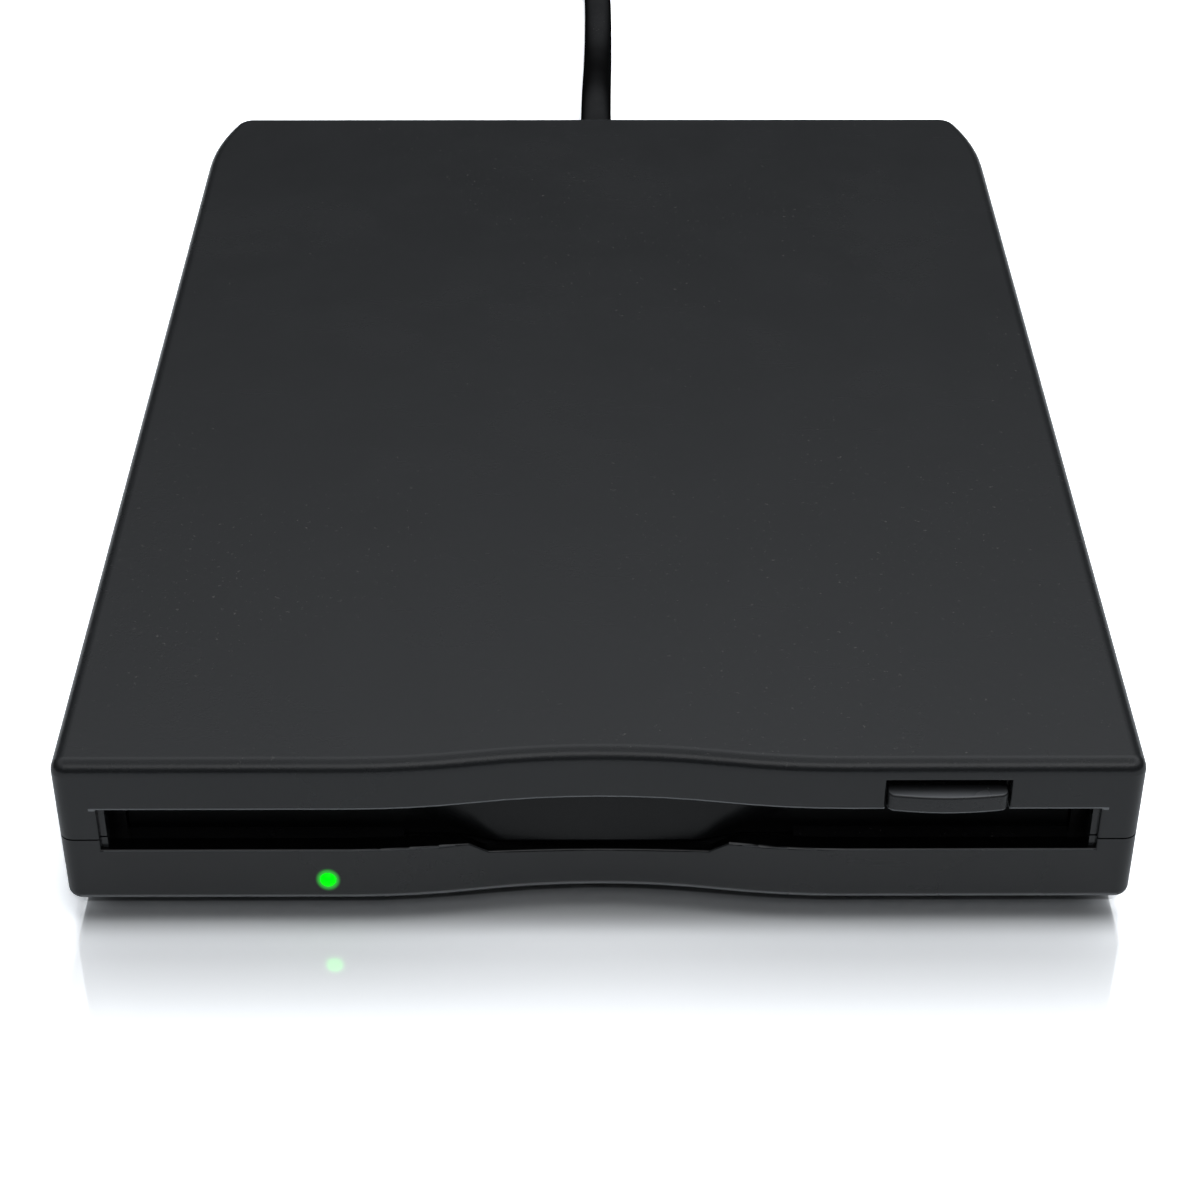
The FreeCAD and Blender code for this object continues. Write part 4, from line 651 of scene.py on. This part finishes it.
def soft_jacket(name, colour, rough=(0.34, 0.46), specular=0.5, edge_shade=0.0):
    """Extruded flexible jacket: very fine grain, faint bands of gloss, and painted shade where it turns away
    from view.
    """
    material, tree, shader = start_material(name, specular=specular)
    grain = use_group(tree, "moulded_grain", Grains_per_metre=2600.0, Coarse_share=0.15)
    marks = use_group(tree, "handling_marks", Smudges_per_metre=70.0, Scratch_share=0.5)
    lying = use_group(tree, "settled_dust", Amount=0.35, Specks_per_metre=2200.0)
    base = blend_colours(tree, grain.outputs["Tone"], tuple(part * 0.75 for part in colour), colour)
    base = blend_colours(tree, lying.outputs["Dust"], base, (0.3, 0.3, 0.28))
    if edge_shade:
        # painted shade: darker where the surface turns away from view
        turned = add_node(tree, "ShaderNodeLayerWeight")
        away = math_node(tree, "MULTIPLY", fade(tree, turned.outputs["Facing"], 0.64, 0.86), edge_shade)
        base = blend_colours(tree, away, base, (0.0006, 0.0006, 0.0006))
    tree.links.new(base, shader.inputs["Base Color"])
    gloss = span(tree, grain.outputs["Tone"], rough[0], rough[1])
    gloss = math_node(tree, "ADD", gloss, math_node(tree, "MULTIPLY", marks.outputs["Smudge"], 0.08))
    tree.links.new(gloss, shader.inputs["Roughness"])
    raise_surface(tree, shader, grain.outputs["Height"], 0.000015)
    return material


PALE_EDGE = (0.05, 0.052, 0.055)
# painted highlight line along the slot's upper edge and the button's lower edge
SLOT_EDGE_HIGHLIGHT = (0.16, 0.168, 0.175)
# painted highlight line along the sill
SILL_EDGE_HIGHLIGHT = (0.06, 0.063, 0.066)
# painted shade on the ledge below the slot
LEDGE_SHADE = (0.0008, 0.0008, 0.0009)
# painted highlight line along the foot of the front face
FOOT_EDGE_HIGHLIGHT = (0.17, 0.176, 0.182)
# painted light on the front of the button's top
BUTTON_TOP_LIGHT = (0.115, 0.12, 0.127)
# painted green glow on the case round the activity light
PAINTED_HALO = (0.02, 0.42, 0.03)
HALO_REACH = (0.8 * MM, 1.29 * MM)
EDGE_WIDTH = 0.22 * MM          # of the painted highlight line above the slot and below the button
SLOT_END = 48.8 * MM
SILL_WIDTH = 0.14 * MM
SILL_START = 13.9 * MM
SILL_END = 47.9 * MM
FOOT_WIDTH = 0.6 * MM
FOOT_END = 50.8 * MM
FINISHES = {}


def make_finishes():
    """One material for each slot of the frame."""
    FINISHES.update({
        "case_plastic": case_plastic("case_plastic", (0.0118, 0.0127, 0.0137)),
        "dark_plastic": moulded_plastic("dark_plastic", (0.006, 0.006, 0.0065), (0.02, 0.02, 0.02)),
        "button_plastic": button_plastic("button_plastic", (0.015, 0.0157, 0.0168)),
        "flap_plastic": moulded_plastic("flap_plastic", (0.005, 0.0053, 0.0057), (0.02, 0.02, 0.02),
                                        (0.4, 0.46), 0.25),
        "rubber": moulded_plastic("rubber", (0.018, 0.018, 0.018), (0.05, 0.05, 0.048), (0.7, 0.85), 0.3,
                                  1800.0, 0.00003, 0.5, 0.6),
        "screw_steel": drawn_metal("screw_steel", (0.22, 0.22, 0.23), (0.1, 0.1, 0.11), (0.3, 0.45),
                                   (1.0, 1.0, 0.05), 7000.0, 0.000004, 0.6),
        "spring_steel": drawn_metal("spring_steel", (0.62, 0.62, 0.63), (0.38, 0.38, 0.4), (0.18, 0.32)),
        "green_lens": lit_lens("green_lens"),
        "led_body": moulded_plastic("led_body", (0.7, 0.75, 0.7), (0.8, 0.8, 0.8), (0.15, 0.25), 0.5,
                                    2000.0, 0.000004, 0.0, 0.1),
        "circuit_board": circuit_board("circuit_board"),
        "zinc_sheet": zinc_sheet("zinc_sheet"),
        "bright_sheet": drawn_metal("bright_sheet", (0.70, 0.70, 0.71), (0.46, 0.46, 0.48), (0.2, 0.36),
                                    (1.0, 0.02, 1.0), 8000.0, 0.000004, 0.3),
        "white_plastic": moulded_plastic("white_plastic", (0.68, 0.68, 0.64), (0.8, 0.8, 0.77),
                                         (0.4, 0.55), 0.5, 3000.0, 0.00001, 0.2, 0.2),
        "copper": wound_wire("copper"),
        "brass": drawn_metal("brass", (0.72, 0.52, 0.24), (0.42, 0.29, 0.13), (0.35, 0.5),
                             (1.0, 1.0, 1.0), 5000.0),
        "ferrite": moulded_plastic("ferrite", (0.045, 0.042, 0.04), (0.12, 0.11, 0.1), (0.5, 0.62), 0.4,
                                   2600.0, 0.00002, 0.4, 0.2),
        "turned_steel": drawn_metal("turned_steel", (0.72, 0.72, 0.73), (0.5, 0.5, 0.52), (0.12, 0.24),
                                    (0.05, 1.0, 1.0), 9000.0, 0.000002),
        "die_cast": drawn_metal("die_cast", (0.56, 0.56, 0.57), (0.36, 0.36, 0.38), (0.45, 0.6),
                                (1.0, 1.0, 1.0), 2200.0, 0.00003, 0.4),
        "head_ceramic": moulded_plastic("head_ceramic", (0.14, 0.11, 0.09), (0.3, 0.26, 0.22),
                                        (0.1, 0.2), 0.6, 1500.0, 0.000002, 0.3, 0.0),
        "chip_resin": moulded_plastic("chip_resin", (0.016, 0.016, 0.017), (0.06, 0.06, 0.06),
                                      (0.5, 0.64), 0.4, 5000.0, 0.00002, 0.5, 0.3),
        "capacitor_ceramic": moulded_plastic("capacitor_ceramic", (0.38, 0.25, 0.13), (0.6, 0.58, 0.54),
                                             (0.3, 0.42), 0.5, 3000.0, 0.000008, 0.6, 0.1),
        "flex_film": moulded_plastic("flex_film", (0.62, 0.60, 0.52), (0.75, 0.74, 0.7), (0.25, 0.36), 0.5,
                                     1200.0, 0.00001, 0.2, 0.1),
        "cable_jacket": soft_jacket("cable_jacket", (0.022, 0.0227, 0.0237), (0.45, 0.55), 0.0, 0.85),
        "wire_insulation": soft_jacket("wire_insulation", (0.35, 0.03, 0.025)),
        "tie_plastic": soft_jacket("tie_plastic", (0.013, 0.013, 0.013), (0.5, 0.62)),
        "plug_plastic": moulded_plastic("plug_plastic", (0.014, 0.0145, 0.015), PALE_EDGE, (0.4, 0.54), 0.5,
                                        3000.0, 0.00002),
        "plug_steel": drawn_metal("plug_steel", (0.76, 0.75, 0.73), (0.56, 0.55, 0.54), (0.16, 0.3),
                                  (1.0, 0.03, 1.0), 8000.0, 0.000003, 0.2),
        "gold_contacts": drawn_metal("gold_contacts", (0.95, 0.70, 0.28), (0.72, 0.48, 0.16), (0.16, 0.28),
                                     (1.0, 0.04, 1.0), 9000.0, 0.000002),
    })


def finish_piece(piece, slot):
    """Gives a piece the material of this slot and no other."""
    piece.data.materials.clear()
    piece.data.materials.append(FINISHES[slot])


def dress_cad_nodes():
    """Gives each node of the frame its finish."""
    for row in frame["record"]["subparts"]:
        finish_piece(frame["nodes"][row["node"]], row["material_slot"])


# ---------------------------------------------------------------- floor, world and lamps
FLOOR_WHITE = 1.9
# painted shade: the floor's colour is darker in the strip under and in front of the case
FLOOR_FRONT_SHADED = 1.22              # under and in front of the case, where the shadow is deepest
FLOOR_TINT = (0.98, 1.0, 1.02)
FLOOR_BOUNCE = (0.575, 0.6, 0.62)
# painted light under the case, behind its front edge
PAINTED_FLOOR_LIFT = 0.95               # how much paler the floor is below the case, behind its front edge
FLOOR_GLOSS = 0.03
STRIP_SIDE = (0.0525, 0.0505)   # the strip of floor below the front: none to full, away from the middle
STRIP_BACK = (-0.055, -0.062)
STRIP_FRONT = (-0.106, -0.092)
WAVE_HALF = 24.0 * MM
WAVE_DEPTH = 1.87 * MM
LIFT_RISE = (0.001, 0.003)      # behind the front edge
# painted shade: a darker line on the floor further behind the front edge
HIDDEN_FROM = (0.0031, 0.0034)  # further behind it, where only the underside sees the floor
PAINTED_SHADE_SHARE = 0.35
MIRROR_RISE = (-0.092, -0.078)
MIRROR_NEAR = 0.29
MIRROR_DIP = (-0.0765, -0.0728)
MIRROR_DIPPED = 0.67
MIRROR_BELOW_RISE = (-0.0735, -0.069)
MIRROR_BELOW = 0.5
SKY_START = 0.42                # sine of the height above which the sky brightens
SKY_END = 0.80
SKY_LOW = 0.03
SKY_HIGH = 0.88
ZENITH = (0.86, 0.96)
SKY_TINT = (0.97, 1.0, 1.04)
SKY_DIP = 0.5                   # how much dimmer the zenith is than the bright ring below it
SKY_SIDE = 0.40                 # how much brighter it is to the right
SKY_BACK = 0.25                 # how much brighter it is behind than in front
FRONT_WATTS = 1.0
TOP_WATTS = 6.0


def looked_at(tree):
    """1 where the camera looks straight at a surface, or through something clear."""
    seen = add_node(tree, "ShaderNodeLightPath")
    return math_node(tree, "ADD", seen.outputs["Is Camera Ray"], seen.outputs["Is Transmission Ray"], True)


def floor_strip(tree, aside, depth):
    """1 under and in front of the case, 0 on the rest of the floor."""
    strip = math_node(tree, "MULTIPLY", fade(tree, aside, *STRIP_SIDE), fade(tree, depth, *STRIP_BACK))
    return math_node(tree, "MULTIPLY", strip, fade(tree, depth, *STRIP_FRONT))


def paint_floor_light_and_shade(tree, aside, depth, strip):
    """Painted light and shade on the floor: paler behind the front edge, whose wave it follows, and darker
    again further behind it.
    """
    within = math_node(tree, "MINIMUM", aside, WAVE_HALF)
    wave = math_node(tree, "COSINE", math_node(tree, "MULTIPLY", within, math.pi / WAVE_HALF))
    wave = math_node(tree, "MULTIPLY", math_node(tree, "ADD", wave, 1.0), 0.5 * WAVE_DEPTH)
    behind = math_node(tree, "SUBTRACT", math_node(tree, "ADD", depth, -FRONT_Y), wave)
    lift = math_node(tree, "MULTIPLY", fade(tree, behind, *LIFT_RISE), PAINTED_FLOOR_LIFT)
    lift = math_node(tree, "ADD", math_node(tree, "MULTIPLY", lift, strip), 1.0)
    painted_dark_line = math_node(tree, "MULTIPLY", fade(tree, behind, *HIDDEN_FROM), strip)
    return math_node(tree, "MULTIPLY", lift, span(tree, painted_dark_line, 1.0, PAINTED_SHADE_SHARE))


def floor_mirror(tree, depth, strip):
    """The share of the floor that mirrors: most at the foot of the front face."""
    near = math_node(tree, "MULTIPLY", fade(tree, depth, *MIRROR_RISE), MIRROR_NEAR)
    near = math_node(tree, "MULTIPLY", near, span(tree, fade(tree, depth, *MIRROR_DIP), 1.0, MIRROR_DIPPED))
    below = math_node(tree, "MULTIPLY", fade(tree, depth, *MIRROR_BELOW_RISE), MIRROR_BELOW)
    return math_node(tree, "MULTIPLY", math_node(tree, "ADD", near, below), strip)


def make_floor():
    """A white floor that mirrors the foot of the front face, and nothing further out, with painted shade in a
    strip in front of the case and painted light and shade below its front edge.
    """
    bpy.ops.mesh.primitive_plane_add(size=6.0, location=(0.0, 0.0, 0.0))
    floor = bpy.context.active_object
    floor.name = "floor"
    material = bpy.data.materials.new("floor_white")
    material.use_nodes = True
    tree = material.node_tree
    tree.nodes.remove(tree.nodes["Principled BSDF"])
    output = tree.nodes["Material Output"]
    plain = add_node(tree, "ShaderNodeBsdfDiffuse")
    gloss = add_node(tree, "ShaderNodeBsdfGlossy")
    gloss.inputs["Roughness"].default_value = FLOOR_GLOSS
    gloss.inputs["Color"].default_value = (1.0, 1.0, 1.0, 1.0)
    place = split_place(tree)
    depth = place["Y"]
    aside = math_node(tree, "ABSOLUTE", place["X"])
    strip = floor_strip(tree, aside, depth)
    # painted shade in the strip in front of the case, and painted light and shade below its front edge
    white = blend_colours(tree, strip, tuple(part * FLOOR_WHITE for part in FLOOR_TINT),
                          tuple(part * FLOOR_FRONT_SHADED for part in FLOOR_TINT))
    brighter = add_node(tree, "ShaderNodeVectorMath", operation="SCALE")
    tree.links.new(white, brighter.inputs[0])
    tree.links.new(paint_floor_light_and_shade(tree, aside, depth, strip), brighter.inputs["Scale"])
    shown = blend_colours(tree, looked_at(tree), FLOOR_BOUNCE, brighter.outputs["Vector"])
    tree.links.new(shown, plain.inputs["Color"])
    both = add_node(tree, "ShaderNodeMixShader")
    tree.links.new(floor_mirror(tree, depth, strip), both.inputs["Fac"])
    tree.links.new(plain.outputs["BSDF"], both.inputs[1])
    tree.links.new(gloss.outputs["BSDF"], both.inputs[2])
    tree.links.new(both.outputs["Shader"], output.inputs["Surface"])
    floor.data.materials.append(material)


def make_world():
    """Dim at the horizon and brighter overhead; white where the camera looks straight at it."""
    world = bpy.data.worlds.new("studio")
    bpy.context.scene.world = world
    world.use_nodes = True
    tree = world.node_tree
    tree.nodes.clear()
    output = add_node(tree, "ShaderNodeOutputWorld")
    background = add_node(tree, "ShaderNodeBackground")
    direction = add_node(tree, "ShaderNodeSeparateXYZ")
    tree.links.new(add_node(tree, "ShaderNodeTexCoord").outputs["Generated"], direction.inputs["Vector"])
    overhead = fade(tree, direction.outputs["Z"], SKY_START, SKY_END)
    zenith = fade(tree, direction.outputs["Z"], *ZENITH)
    overhead = math_node(tree, "MULTIPLY", overhead, span(tree, zenith, 1.0, 1.0 - SKY_DIP))
    level = span(tree, overhead, SKY_LOW, SKY_HIGH)
    to_right = math_node(tree, "ADD", math_node(tree, "MULTIPLY", direction.outputs["X"], SKY_SIDE), 1.0)
    to_back = math_node(tree, "ADD", math_node(tree, "MULTIPLY", direction.outputs["Y"], SKY_BACK), 1.0)
    level = math_node(tree, "MULTIPLY", math_node(tree, "MULTIPLY", level, to_right), to_back)
    tint = add_node(tree, "ShaderNodeCombineColor")
    for part, share in zip(("Red", "Green", "Blue"), SKY_TINT):
        tree.links.new(math_node(tree, "MULTIPLY", level, share), tint.inputs[part])
    colour = blend_colours(tree, looked_at(tree), tint.outputs["Color"], (1.0, 1.0, 1.0))
    tree.links.new(colour, background.inputs["Color"])
    tree.links.new(background.outputs["Background"], output.inputs["Surface"])


def make_lamp(name, place, aim, width, height, watts, mirrored=True):
    """A soft box that points at aim; glossy surfaces show it only where it is mirrored."""
    data = bpy.data.lights.new(name, "AREA")
    data.shape = "RECTANGLE"
    data.size = width
    data.size_y = height
    data.energy = watts
    lamp = bpy.data.objects.new(name, data)
    lamp.location = place
    lamp.rotation_euler = (Vector(aim) - Vector(place)).to_track_quat("-Z", "Y").to_euler()
    lamp.visible_glossy = mirrored
    bpy.context.scene.collection.objects.link(lamp)


def make_lamps():
    """One wide soft box in front and above, one overhead and behind."""
    make_lamp("front_softbox", (0.15, -0.75, 0.95), (0.0, 0.0, 0.0), 1.0, 0.5, FRONT_WATTS)
    make_lamp("top_softbox", (0.12, 0.05, 0.9), (0.0, 0.0, 0.0), 1.0, 0.6, TOP_WATTS, False)


bpy.context.scene.view_settings.view_transform = "Standard"
make_camera()
lead = make_lead()
make_effects()
make_finishes()
dress_cad_nodes()
finish_piece(lead, "cable_jacket")
make_floor()
make_world()
make_lamps()
